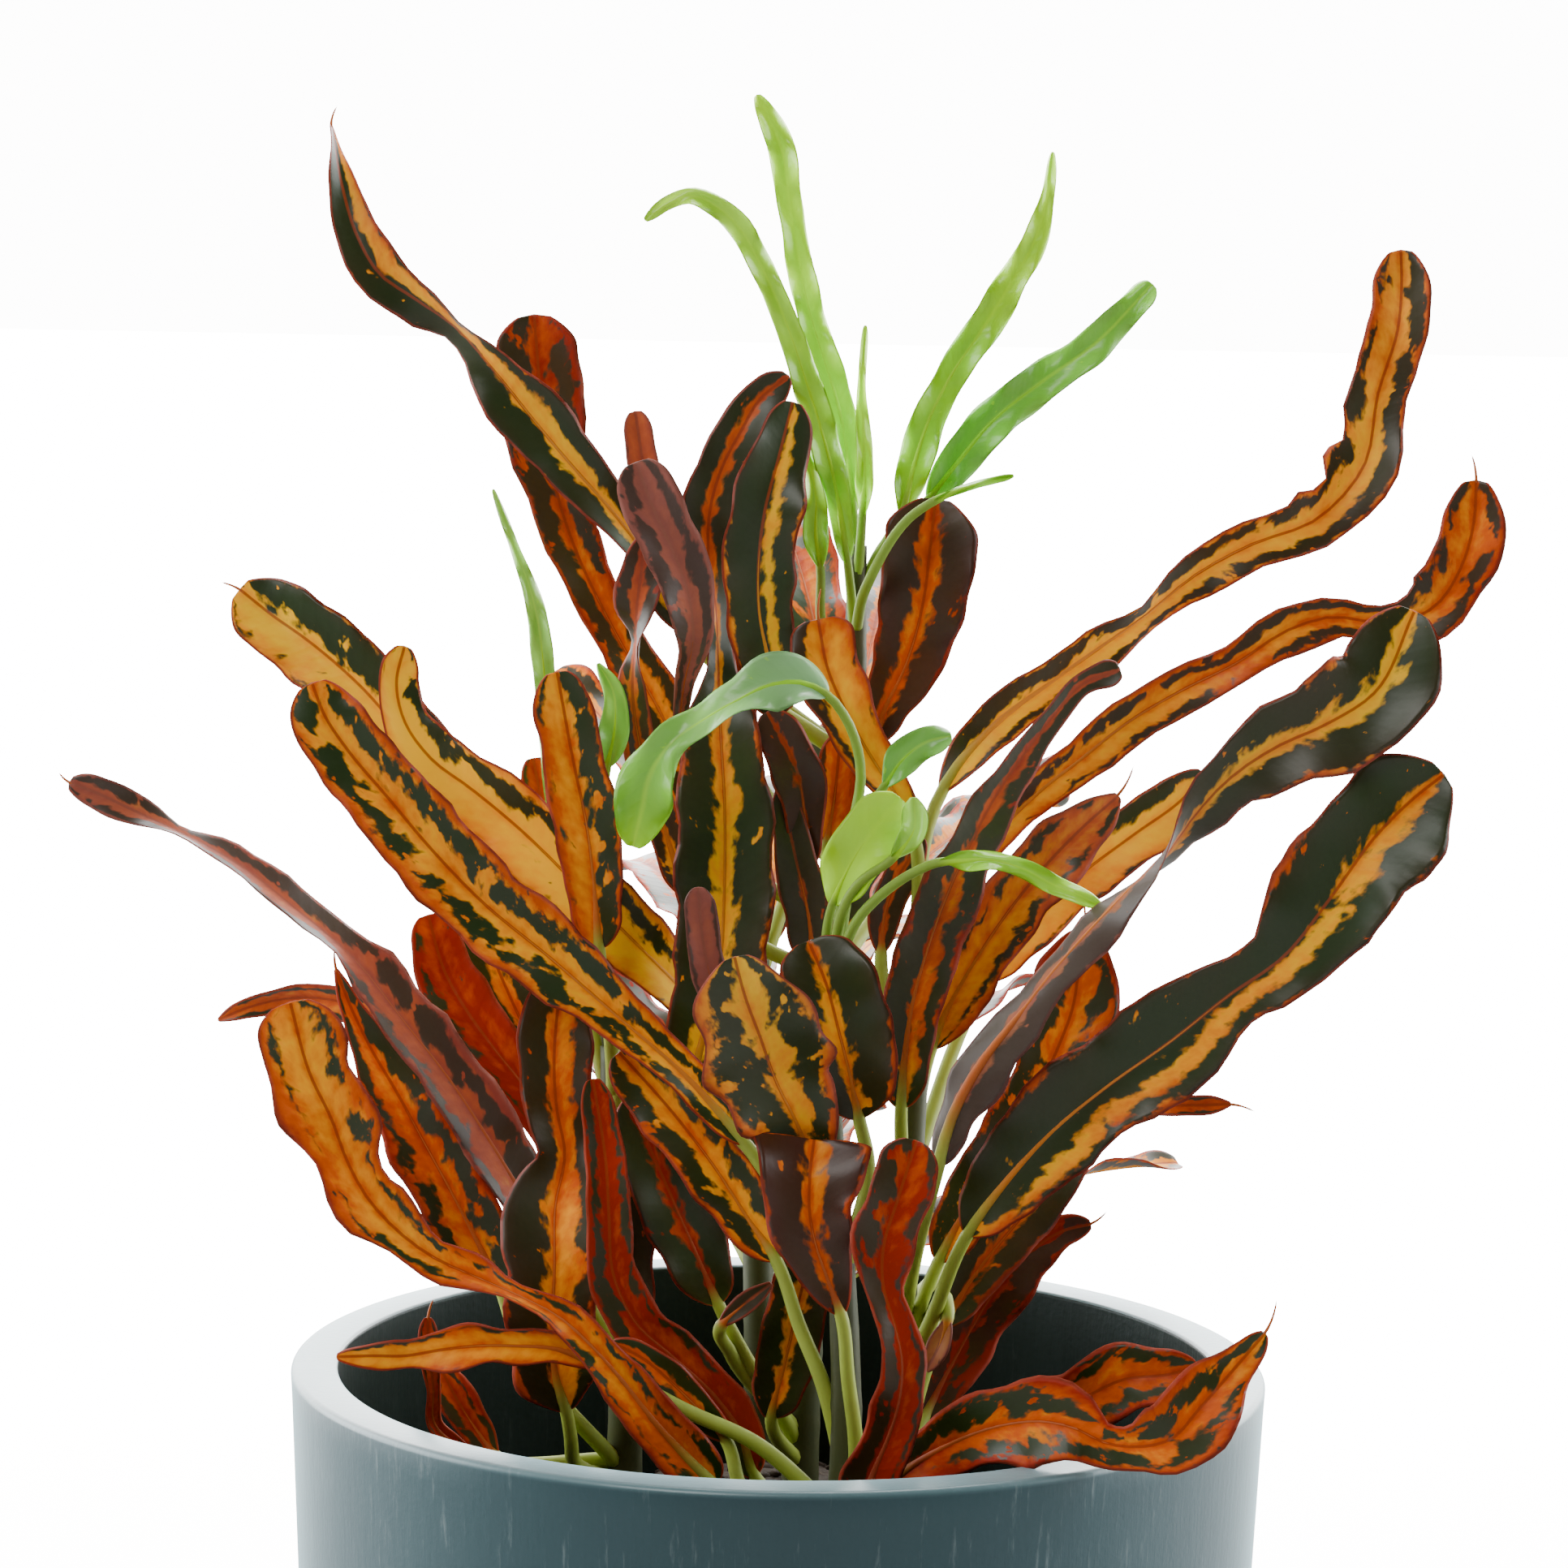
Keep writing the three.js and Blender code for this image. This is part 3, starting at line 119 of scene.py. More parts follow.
LEAVES = {
    "leafy_stem_tall": [
        ("sky_left", 250, [], (0.5, 6), [
            [-17, 271.5, 0, 20, 3.2], [-22.5, 281.5, 2, 20, 3.6], [-30, 291.3, 5, 15, 3.8],
            [-36, 298, 7, 10, 5], [-42, 305, 8, 0, 5.6], [-48, 312.5, 9, -20, 4.6],
            [-54.8, 320.1, 9, -50, 3.8], [-61.5, 324.6, 9, -30, 3.7], [-67.3, 328.4, 9, 0, 4.5],
            [-70.5, 333.5, 8, 10, 3.7], [-73.5, 342.5, 6, 30, 2.6], [-75.2, 352, 4, 40, 1.2],
        ]),
        ("behind_sky_left", 205, [], (0.5, 5), [
            [-7, 218, -14, 0, 3.6], [-11, 232, -15, 0, 4.8], [-15.5, 246.5, -15, 0, 5.2],
            [-21, 258, -14, 0, 5], [-26.3, 267, -13, 10, 4.4], [-31, 275.5, -12, 10, 4.1],
            [-34.8, 283.5, -12, 0, 4.6], [-38, 292.5, -11, 0, 5.1], [-40, 301.5, -11, 0, 6.8],
            [-41.2, 310.5, -10, 0, 7.4], [-42.3, 322.3, -9, 0, 6],
        ]),
        ("amber_tip", 250, [], (0, 4), [
            [-12, 270, -6, 0, 2], [-18.5, 284, -6, 0, 2.5], [-23.5, 295, -6, 0, 2.7],
            [-25.9, 307, -6, 0, 2.5],
        ]),
        ("dusky_pink", 222, [], (0.3, 5), [
            [-12, 238, -2, 0, 2], [-15.5, 248, 0, 0, 1.8], [-17.8, 256, 3, 10, 1.6],
            [-17.4, 262.5, 8, 20, 1.6], [-16, 270.5, 12, 15, 3], [-16.8, 277, 13, 15, 4.6],
            [-19.3, 284, 13, 10, 5], [-22.4, 290.6, 13, 5, 5.1], [-25.6, 298.8, 12, 0, 4.8],
        ]),
        ("twisted_dark", 213, [], (0, 4), [
            [-15.5, 228, -2, 0, 2.6], [-21, 242, 2, 0, 3], [-24.6, 254, 5, 0, 2.9],
            [-25.6, 262, 7, -10, 2.4], [-24.9, 269.5, 8, -70, 2.2], [-25, 275.5, 9, -20, 3.6],
            [-24.6, 280, 9, 0, 4], [-24, 287.2, 9, 10, 2],
        ]),
        ("yellow_band", 240, [], (0.4, 6), [
            [-2, 258, 1, 0, 4.2], [-3.6, 266.5, 4, 0, 5], [-5.4, 275, 7, 5, 5.8], [-5.6, 283, 9, 5, 6.1],
            [-4.7, 291.5, 10, 5, 6.1], [-2.8, 299.5, 9, 10, 5.4], [-0.6, 309, 8, 15, 3.8],
        ]),
        ("dark_curl", 232, [], (0, 3), [
            [-6, 249, -1, 0, 2.8], [-8.8, 258.5, -2, 0, 3.6], [-8.6, 265.5, -1, 10, 3.8],
            [-7, 270.4, -1, 20, 3.6], [-3.4, 272.6, 0, 20, 2.8],
        ]),
        ("brown_spatula", 240, [], (0.3, 6), [
            [13.3, 253, -8, 0, 2.4], [15.4, 259.5, -7, 0, 4], [18.1, 265.5, -6, 0, 5.6],
            [20, 271.5, -5, 0, 6.7], [21.3, 278, -4, 0, 7.5], [22, 285, -4, 0, 8],
            [22.8, 293.7, -5, 0, 6.6],
        ]),
        ("yellow_lower", 190, [], (0.6, 4), [
            [-8, 203, -3, 20, 3.6], [-16, 211.5, 5, 20, 4.8], [-25, 220.5, 10, 10, 5.8],
            [-34, 229.3, 12, 0, 6.3], [-43, 238, 13, 0, 6.6], [-51.5, 245, 13, -5, 6],
            [-58.3, 250, 12, 0, 5.1], [-62.8, 256.3, 11, 20, 4.2], [-64, 262.3, 10, 25, 3.4],
            [-62.7, 268.3, 9, 20, 2.6],
        ]),
        ("brown_centre", 222, [], (0, 4), [
            [3.2, 233, 1, 0, 2.4], [2.7, 241, 4, 0, 3.4], [1.4, 248.5, 6, 0, 4.4],
            [-3.8, 258.6, 6, 0, 3.4],
        ]),
        ("orange_centre", 226, [], (0, 4), [
            [6.4, 237, -3, 0, 2.8], [7.4, 244.5, -3, 0, 3.6], [8.2, 255, -4, 0, 3.2],
        ]),
        ("blue_centre", 205, [], (0, 5), [
            [4.6, 217, 1, 0, 3.4], [3.4, 226, 3, 0, 4.2], [1.2, 235, 4, 0, 3.6], [-1.3, 246.5, 4, 0, 2],
        ]),
        ("low_olive", 131, [], (0.3, 4), [
            [-1, 141, 4, 0, 3], [0.8, 149, 8, 0, 5], [3, 160, 11, 0, 5.2], [5, 170, 12, 0, 4.6],
            [5.6, 176, 12, 0, 3.4],
        ]),
        ("low_red_band", 134, [], (0.3, 4), [
            [-10, 160, 12, 0, 3.2], [-14, 169, 14, 5, 6], [-18.5, 179, 14, 5, 6.4],
            [-22.5, 188, 12, 5, 5.4], [-25, 194.5, 11, 5, 3.6],
        ]),
        ("low_blue_curl", 136, [[-8, 152, 10]], (0, 4), [
            [-9.5, 156.5, 17, 0, 1.4], [-6, 160, 19, 0, 1.9], [-1.4, 163.8, 20, 10, 1.3],
        ]),
    ],
    "leafy_stem_left": [
        ("round_left", 180, [[-27, 197, 6], [-26.5, 207, 9]], (0.4, 6), [
            [-35, 220, 8, 0, 4], [-47.5, 235, 5, 0, 5.8], [-59, 249, 2, 0, 6.3],
            [-70, 261.8, -1, 0, 6.8], [-78, 268.6, -3, 0, 7], [-84.3, 273, -5, 0, 6.4],
            [-89.4, 277, -6, 0, 5],
        ]),
        ("orange_upright", 190, [[-28.5, 206, 13]], (0.3, 5), [
            [-30.5, 219, 20, 0, 3.6], [-31.4, 229.5, 21, 0, 4.8], [-33, 240.5, 22, 0, 5.6],
            [-35.2, 250.5, 22, 0, 5.2], [-37.9, 264.5, 22, 0, 4.6],
        ]),
        ("long_left", 150, [], (0.3, 4), [
            [-34, 164, 8, 25, 4], [-41, 175, 13, 30, 5.6], [-47.6, 186, 17, 30, 6],
            [-54.6, 196.6, 20, 30, 6], [-62.2, 206.2, 22, 35, 6], [-71.2, 217.2, 23, 48, 4.9],
            [-80.2, 224.6, 24, 52, 4.2], [-89.8, 232, 25, 55, 3.6], [-98.6, 236.5, 26, 55, 2.4],
            [-106.6, 240.4, 26, 25, 2.8], [-113, 243.4, 26, 10, 2.8], [-117, 244.8, 26, 10, 2.2],
        ]),
        ("far_left", 168, [], (0.2, 4), [
            [-40, 178, -38, 0, 2.2], [-50, 191, -46, -10, 3], [-66, 207.2, -56, -30, 3.6],
            [-74.5, 210, -58, -30, 3.3], [-81.8, 209.9, -60, -30, 3.1], [-88, 208.2, -60, -20, 2],
            [-92.6, 206, -60, 0, 0.8],
        ]),
        ("streaked_left", 132, [[-40, 149, 14], [-43.5, 155, 13]], (0.4, 5), [
            [-45.5, 161, 12, 0, 3], [-48.8, 168, 11, 0, 5.4], [-53, 176, 11, 0, 6.2],
            [-58.5, 186, 12, 0, 6.4], [-63.5, 195, 13, 5, 5.4], [-67.8, 202.3, 13, 5, 3.6],
            [-70.9, 208.6, 14, 10, 2], [-73.4, 215, 14, 10, 0.8],
        ]),
        ("red_behind", 160, [], (0.3, 5), [
            [-32.5, 179.5, 4, 0, 3], [-37.6, 188.5, 3, 0, 3.7], [-42.6, 196.2, 2, 0, 4.8],
            [-47.4, 202.2, 1, 0, 5.2], [-51.8, 208.2, -1, 0, 5.4], [-55.4, 214.4, -3, 0, 5.2],
            [-58.4, 224.2, -5, 0, 3.8],
        ]),
        ("dark_behind", 166, [], (0.2, 5), [
            [-33, 186, -8, 0, 3], [-38.5, 198, -10, 0, 4.6], [-44.5, 210, -12, 0, 5.4],
            [-49, 221, -14, 0, 4.8], [-50.5, 227, -14, 0, 3.6],
        ]),
        ("wavy_upright", 130, [[-33.4, 133, 12], [-34, 137, 17]], (0.9, 5), [
            [-34.8, 141.5, 19, 0, 3.4], [-36.6, 147.5, 20, 0, 7], [-37.2, 156, 21, -5, 7.4],
            [-37, 166, 22, -10, 8.1], [-37, 176, 22, -10, 8.6], [-35.6, 185, 22, 0, 4.8],
            [-37, 192, 21, 5, 5.6], [-37.6, 200, 20, 5, 6.2], [-37.2, 207.5, 18, 0, 6],
            [-36.4, 215, 15, 0, 4],
        ]),
        ("tall_twist", 158, [[-22.5, 178, 5]], (0.3, 3.5), [
            [-16.4, 192, 9, 5, 3], [-13.6, 203.5, 10, 5, 6.2], [-10.8, 216, 11, 0, 7.6],
            [-10.2, 229.5, 11, 0, 8.3], [-10.4, 243, 9, 0, 8], [-11.3, 256, 7, 0, 6.2],
            [-12, 266, 5, 40, 3.6], [-12.6, 275, 4, 60, 3.6], [-13.9, 284, 4, 30, 4],
            [-13.6, 291, 5, 0, 4.6], [-11.6, 298.5, 5, 0, 4.4], [-8.8, 304, 5, 0, 4],
            [-6, 309, 4, 0, 3.6], [-1.2, 313.2, 4, 0, 2.2],
        ]),
        ("small_red", 188, [[-32, 210, -4]], (0, 4), [
            [-35.5, 226, -12, 0, 2.6], [-38.5, 236, -13, 0, 3.4], [-41.6, 250.3, -14, 0, 3],
        ]),
        ("low_small", 134, [], (0, 3), [
            [-50.5, 134, 8, 0, 1.6], [-56.6, 139, 12, 20, 1.6], [-56.9, 145, 15, 30, 1.4],
            [-57.6, 151, 17, 10, 1.8], [-57.8, 157, 17, 0, 1.6],
        ]),
        ("low_small_dark", 133, [], (0, 3.5), [
            [-46, 133.5, 0, 0, 2], [-49.5, 138, -1, 0, 3], [-53, 143.5, -2, 0, 3.4],
            [-55.6, 148.5, -3, 0, 2.6],
        ]),
        ("low_dark_fill", 140, [], (0.3, 5), [
            [-23.5, 156, 14, 0, 3.6], [-25.5, 166, 13, 0, 5], [-26, 178, 12, 0, 5],
            [-25.5, 191, 9, 0, 3.6],
        ]),
    ],
    "leafy_stem_right": [
        ("sky_right", 210, [[21.5, 230, 0], [22.2, 238, -3]], (0.8, 5), [
            [24.6, 245.6, -6, 0, 1.7], [29.3, 252.9, -7, 0, 3.5], [35.5, 259.4, -8, 5, 4.2],
            [42.3, 264.5, -9, 15, 4], [49.6, 270, -10, 30, 3.8], [57, 275.6, -11, 35, 3.6],
            [64.2, 281.7, -12, 20, 4.1], [73.9, 287.3, -13, 10, 4.3], [84.3, 291.6, -14, 5, 5],
            [91.6, 300.3, -15, 0, 5.9], [93.5, 312, -16, 0, 5], [96.4, 322.9, -17, 0, 5.3],
            [96.7, 330, -18, 0, 4.8], [96.4, 335.2, -18, 0, 4],
        ]),
        ("curl_right", 198, [], (0.4, 5.5), [
            [24.5, 228, 0, 20, 2.6], [31, 236.5, 1, 20, 3.2], [38.8, 244.8, 2, 20, 3.4],
            [47, 251.6, 3, 15, 3.8], [55, 258.2, 4, 10, 4.3], [63.4, 263.4, 5, 5, 4.1],
            [71.8, 267.8, 6, 5, 3.5], [80.4, 273.6, 7, 10, 4.3], [87, 275.8, 8, 20, 4],
            [94, 275.2, 9, 30, 3.3], [99.3, 275.4, 10, 15, 4], [103.8, 277.8, 10, 0, 5.5],
            [108, 284.6, 11, -5, 5.6], [109.6, 291.5, 11, 0, 5.1], [109.8, 298.4, 11, 0, 4.4],
        ]),
        ("front_right", 157, [[22.5, 171, 24]], (0.4, 7), [
            [25.6, 184, 34, 160, 2.8], [27.4, 191, 35, 155, 3.7], [31.6, 200, 37, 150, 4.9],
            [38, 208.9, 39, 145, 4.4], [44.3, 217.4, 40, 140, 4.1], [50.2, 224.4, 41, 130, 4.3],
            [56.2, 230.9, 42, 115, 4.6], [61.2, 236.4, 42, 85, 4.6], [65.8, 243, 43, 45, 5],
            [71.6, 249.3, 44, 20, 5.6], [78.9, 254.4, 44, 10, 6.8], [86.8, 258.2, 44, 5, 8.4],
            [94.2, 263.2, 43, 5, 8.8], [100.6, 277, 41, 0, 6],
        ]),
        ("spatula_right", 148, [[25, 158, 18]], (0.6, 7), [
            [30.6, 172.5, 26, 0, 3], [35.6, 180, 29, 0, 6.2], [43, 189, 32, 0, 7.8],
            [53, 197.8, 35, 0, 8.5], [63.5, 205.8, 38, 0, 8.6], [72.2, 213.2, 40, 10, 6.5],
            [81, 219.8, 42, 5, 6.4], [88.5, 229.8, 43, 0, 9.8], [95.8, 240.4, 43, 0, 10],
            [101.5, 246.4, 42, 0, 8.6], [106.3, 250.4, 42, 0, 6],
        ]),
        ("knob_right", 168, [[19.6, 185, 8]], (0.2, 3), [
            [19.3, 193.5, 13, 0, 3.2], [19.7, 201.5, 15, 0, 4.4], [20.6, 210, 16, 0, 5],
            [22.7, 219, 17, 10, 5.5], [25.8, 228.5, 18, 15, 5.4], [29.5, 237.5, 19, 25, 4.8],
            [33.7, 246, 19, 35, 4.2], [38.2, 253, 19, 40, 3.2], [42.6, 259, 19, 35, 2.5],
            [46.8, 263.8, 18, 10, 2], [53.3, 266.6, 17, 0, 2.7],
        ]),
        ("yellow_right", 186, [], (0.5, 4), [
            [24, 203.5, 0, 0, 3], [27.3, 211.5, 0, 0, 5.2], [31.8, 219.8, 1, 0, 5.4],
            [37.6, 228.6, 2, 0, 5.6], [43.2, 235.6, 3, 0, 5.8], [47.8, 240.6, 3, 10, 4.8],
            [53.5, 246, 3, 20, 2],
        ]),
        ("yellow_right_behind", 182, [], (0.4, 4), [
            [33, 215, -16, 0, 3], [40, 225, -18, 0, 4.8], [47.5, 232.6, -20, 0, 5.2],
            [56.3, 239.6, -22, 0, 5.4], [64, 245.6, -24, 0, 4.6], [67.5, 249.8, -24, 0, 3.4],
        ]),
        ("folded_orange", 211, [[21.5, 226, 4]], (0.3, 3), [
            [20.3, 239, 8, 0, 2.2], [17.6, 245, 9, 0, 3], [14.2, 250, 10, 0, 3.7],
            [11.2, 254.8, 10, 0, 4.4], [8.4, 260, 10, 0, 5.1], [6, 265.5, 9, 0, 5.7],
            [4.2, 273.8, 7, 0, 5.6],
        ]),
        ("orange_right", 138, [[21, 152, 8]], (0.5, 6), [
            [26, 168, 10, 0, 3.4], [31, 178, 12, 0, 5], [36.3, 187.3, 13, 0, 5.4],
            [41, 195.6, 14, 0, 5.4], [44.6, 203.8, 14, 0, 6], [47, 211, 13, 0, 7.4],
            [47.8, 217.5, 12, 0, 6.6], [48.6, 223.6, 12, 0, 5],
        ]),
        ("far_right", 160, [], (0.2, 3), [
            [40, 181, -40, 0, 2.2], [49, 190.5, -50, 10, 2.4], [58, 194.8, -55, 10, 2.2],
            [65.5, 194.9, -58, 10, 1.9], [70, 195, -58, 0, 1.7], [73.3, 195.2, -58, 0, 0.9],
        ]),
        ("olive_right", 134, [], (0.3, 4), [
            [27, 157, -2, 0, 3], [32.5, 166.5, -4, 0, 4.6], [38.5, 174.5, -5, 0, 5.2],
            [44.3, 182, -6, 0, 4.8], [48.6, 188, -7, 0, 3.2], [51.2, 191.5, -7, 0, 2.2],
        ]),
        ("dark_red_right", 131, [], (0.4, 3.5), [
            [24, 141, -8, 0, 3.2], [28, 149.5, -12, 5, 4.8], [32, 157.5, -14, 5, 5.4],
            [36.5, 164.8, -15, 5, 5.6], [41.5, 170.3, -16, 0, 4.6], [46.3, 173.5, -16, 0, 2.9],
            [50.9, 174.7, -16, 0, 2],
        ]),
        ("rim_behind_right", 130, [], (0.4, 4), [
            [31, 139, 8, 0, 3], [40, 142, 12, 0, 4.6], [49, 144.8, 16, 0, 5.4], [57.5, 148.8, 19, 0, 6],
            [64, 149.6, 20, 0, 4.6], [69, 151, 20, 0, 3],
        ]),
        ("dark_nook", 196, [], (0, 4), [
            [15.5, 219, 2, 0, 2], [16.4, 228, 3, 20, 3.2], [21.6, 238.5, 3, 20, 2.6],
        ]),
        ("dry_husk", 146, [[27.4, 161.5, 16]], (0, 3), [
            [27.7, 158.5, 20, 0, 1.6], [26.6, 154, 21, 30, 2.2], [24.4, 149.5, 20, 10, 1.4],
        ]),
    ],
    "leafy_stem_front": [
        ("big_front_left", 168, [], (0.5, 6), [
            [-6, 187, 27, 20, 2.6], [-14.5, 196.5, 28, 20, 3.6], [-24, 205, 28, 15, 4.2],
            [-31, 211, 28, 10, 5], [-38, 217, 29, 5, 6.7], [-50, 226.8, 30, 0, 6.9],
            [-58.7, 235.8, 31, 0, 7.2], [-65.5, 243.8, 32, 0, 6.7], [-71.6, 250.9, 32, 0, 6.4],
            [-75.4, 256.5, 32, 0, 5.9], [-77.6, 262, 32, 0, 5],
        ]),
        ("mottled_front", 172, [], (0.6, 5), [
            [5.3, 183.5, 36, 0, 3], [2.6, 190, 41, 0, 6.4], [-1.2, 197.5, 45, 0, 9.4],
            [-4, 205, 49, 0, 10.6], [-6.6, 211.8, 52, 0, 8.2], [-8.4, 218.2, 53, 0, 5.6],
        ]),
        ("pink_tip", 175, [], (0, 3), [
            [-8.5, 202, 32, 0, 2], [-11, 210, 34, 10, 2.7], [-13, 217.5, 36, 10, 3],
            [-14, 223.5, 37, 10, 2.9], [-14.4, 229.6, 38, 0, 2.2],
        ]),
        ("dark_shield", 172, [[14, 185, 30]], (0.4, 3), [
            [12.5, 191.5, 31, 0, 4], [10.9, 198.5, 33, 0, 8], [8.9, 206, 34, 0, 8.8],
            [6.6, 214, 34, 5, 8.2], [3.6, 221, 32, 10, 5.4],
        ]),
        ("front_brown_red", 127, [[13, 137, 42], [11.5, 148, 44]], (0.2, 1.5), [
            [10.2, 158.5, 45, 0, 2.2], [8, 164.3, 46, 0, 4], [5.8, 170.3, 47, 0, 5.9],
            [4.6, 176.5, 47, 0, 7.4], [4.6, 182, 46, 0, 8.6], [5.2, 188, 43, 0, 9.8],
        ]),
        ("front_red", 127, [], (0.3, 4), [
            [14, 124.5, 52, 0, 3.8], [15.8, 131.3, 53, 0, 5], [18.3, 138, 54, 0, 4.2],
            [20.1, 145, 55, 0, 4.2], [20.3, 151, 55, 10, 3.9], [18.8, 157.3, 55, 30, 3],
            [17, 163.2, 55, 10, 3.5], [16.9, 170.3, 55, 0, 5.1], [18.8, 177.3, 55, 0, 5.3],
            [22, 188.2, 54, 0, 4.6],
        ]),
        ("diagonal_dark", 140, [[7, 148, 30], [3.4, 156.5, 28]], (0.4, 5), [
            [-0.6, 167.5, 26, 0, 3.2], [-5.4, 174.6, 25, 0, 4.8], [-11, 183, 24, 0, 5.6],
            [-18, 192, 22, 0, 5.8], [-27, 202, 19, 0, 4.6],
        ]),
        ("long_orange_left", 126, [[-2, 122.5, 40]], (0.4, 6), [
            [-10, 129.5, 45, 0, 4.4], [-15.6, 135, 46, 0, 4.7], [-20.6, 140.4, 47, 0, 4.4],
            [-25.6, 146.7, 47, 0, 4], [-30.6, 152.4, 48, 10, 3.2], [-36.3, 157.3, 48, 40, 3],
            [-43, 160.7, 49, 45, 3.1], [-50, 163.8, 50, 30, 3.2], [-56.4, 166.7, 50, 10, 3.5],
            [-62.2, 170.8, 51, 0, 4.2], [-67.7, 176.6, 51, 0, 5.3], [-71.2, 182.8, 51, 0, 5.9],
            [-73.9, 190, 51, 0, 6.8], [-77.3, 197, 51, 0, 7.4], [-80.8, 209.4, 51, 0, 6.4],
        ]),
        ("level_left", 132, [[-4, 137, 34], [-15, 142, 37]], (0.4, 4), [
            [-29.5, 149.5, 40, 0, 2], [-36.5, 152.1, 41, 0, 2.6], [-43, 152.4, 42, 0, 3],
            [-49.5, 152.3, 43, 0, 3.4], [-55.7, 151.5, 44, 0, 3.5], [-61.5, 150.4, 44, 0, 2.5],
            [-67, 150.3, 45, 0, 2.1], [-72.8, 150, 46, 0, 1.4],
        ]),
        ("low_dark_front", 126, [[-5.8, 129, 34]], (0.2, 4), [
            [-8.2, 136.8, 33, 0, 2], [-12.4, 141.6, 34, 0, 2.9], [-17.2, 146.4, 35, 0, 3.1],
            [-22.2, 150.6, 36, 0, 2.8], [-27.4, 153.3, 36, 0, 2],
        ]),
        ("low_red_front", 130, [], (0.3, 5), [
            [-3.5, 131, 24, 0, 2.8], [-6, 138.4, 26, 0, 3.8], [-10.6, 144.8, 27, 0, 4.4],
            [-17.3, 151, 28, 0, 4.6], [-23.8, 157, 29, 0, 4.6], [-27.4, 164.8, 29, 0, 4.2],
            [-28.2, 174, 29, 0, 3.8], [-28.8, 183, 28, 0, 3.5], [-31.2, 197.5, 27, 0, 2.6],
        ]),
        ("rim_right", 127, [], (0.4, 2.5), [
            [17, 129, 48, 0, 3.6], [24, 134.5, 51, 0, 4.6], [30.5, 138.2, 54, 0, 5.2],
            [37, 140.5, 57, 0, 6.7], [43.5, 141.3, 59, 0, 7.1], [49, 140.3, 61, 5, 6.2],
            [54, 138, 62, 15, 3.9], [59.5, 137.4, 64, 15, 3.9], [65, 138.8, 66, 5, 6.6],
            [69.7, 144.2, 66, 0, 6.3], [74.4, 150, 64, 0, 4], [80, 157, 62, 0, 1.4],
        ]),
    ],
    "leafy_stem_back": [],
}

